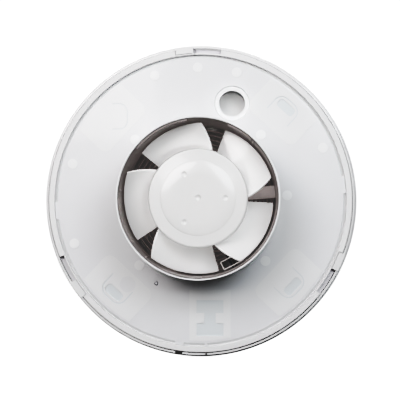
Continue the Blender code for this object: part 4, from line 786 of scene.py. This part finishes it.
# Motor in the pod: a shaded-pole motor with a laminated stator, four wound nylon bobbins, a
# die-cast cage rotor on a ground shaft, and two pressed brackets with sintered bronze bushes.
shaft_steel = worked_metal("shaft_steel", (0.74, 0.74, 0.75), (0.66, 0.66, 0.67), 0.16, (1, 6, 1))
rotor_steel = worked_metal("rotor_steel", (0.42, 0.42, 0.43), (0.33, 0.33, 0.34), 0.38,
                           (0.3, 3, 0.3))
cast_aluminium = worked_metal("cast_aluminium", (0.66, 0.67, 0.68), (0.56, 0.57, 0.58), 0.45,
                              streak=0.7)
bush_bronze = worked_metal("bush_bronze", (0.62, 0.42, 0.22), (0.45, 0.29, 0.14), 0.42, streak=0.2)
bracket_steel = worked_metal("bracket_steel", (0.68, 0.69, 0.70), (0.58, 0.59, 0.61), 0.34,
                             (1, 1, 0.15))
lamination_steel = worked_metal("lamination_steel", (0.36, 0.37, 0.39), (0.22, 0.225, 0.24), 0.4,
                                (0.05, 4, 0.05), streak=2, relief=0.00004)
washer_fibre = moulded("washer_fibre", (0.19, 0.075, 0.04), (0.14, 0.05, 0.028), 0.6, patch=1.5,
                       grain=0.15)
bobbin_nylon = moulded("bobbin_nylon", (0.72, 0.70, 0.64), (0.66, 0.64, 0.58), 0.4, patch=9)
coil_copper = worked_metal("coil_copper", (0.83, 0.40, 0.22), (0.60, 0.24, 0.11), 0.3)
wire = 0.3
nodes, links = coil_copper.node_tree.nodes, coil_copper.node_tree.links
turns = nodes.new("ShaderNodeTexWave")
turns.wave_type = "RINGS"
turns.rings_direction = "Y"
turns.inputs["Scale"].default_value = 1000 / wire / 20
lay = nodes.new("ShaderNodeBump")
lay.inputs["Strength"].default_value = 0.8
lay.inputs["Distance"].default_value = 0.00008
links.new(nodes["Texture Coordinate"].outputs["Object"], turns.inputs["Vector"])
links.new(turns.outputs["Fac"], lay.inputs["Height"])
links.new(nodes["Bump"].outputs["Normal"], lay.inputs["Normal"])
links.new(lay.outputs["Normal"], nodes["Principled BSDF"].inputs["Normal"])
dress(shaft_steel, "motor_shaft")
dress(rotor_steel, "rotor_core")
dress(cast_aluminium, "rotor_end_ring_rear", "rotor_end_ring_front")
dress(washer_fibre, "thrust_washer_rear", "thrust_washer_front")
dress(bush_bronze, "rear_bush", "front_bush")
dress(bracket_steel, "motor_rear_bracket", "motor_front_bracket")
dress(lamination_steel, "stator_core")
dress(bobbin_nylon, *[f"coil_bobbin_{number}" for number in range(1, 5)])
dress(coil_copper, *[f"stator_coil_{number}" for number in range(1, 5)])


# Wiring: a nylon terminal block with brass tube contacts and steel clamp screws under a snap-on
# moulded lid, and the two PVC-covered leads that run from it through the guide to the motor.
block_nylon = moulded("block_nylon", (0.78, 0.77, 0.73), (0.72, 0.71, 0.67), 0.42, patch=7)
contact_brass = worked_metal("contact_brass", (0.80, 0.62, 0.30), (0.66, 0.48, 0.20), 0.28,
                             (1, 0.2, 1))
lead_brown = moulded("lead_brown", (0.05, 0.024, 0.016), (0.036, 0.017, 0.011), 0.42, patch=5,
                     grain=0.2)
lead_blue = moulded("lead_blue", (0.012, 0.028, 0.075), (0.009, 0.02, 0.055), 0.42, patch=5,
                    grain=0.2)
dress(block_nylon, "terminal_block")
dress(contact_brass, "terminal_contact_1", "terminal_contact_2")
dress(zinc_steel, *[f"terminal_screw_{number}" for number in range(1, 5)])
dress(body_white, "terminal_cover")
dress(lead_brown, "lead_live")
dress(lead_blue, "lead_neutral")
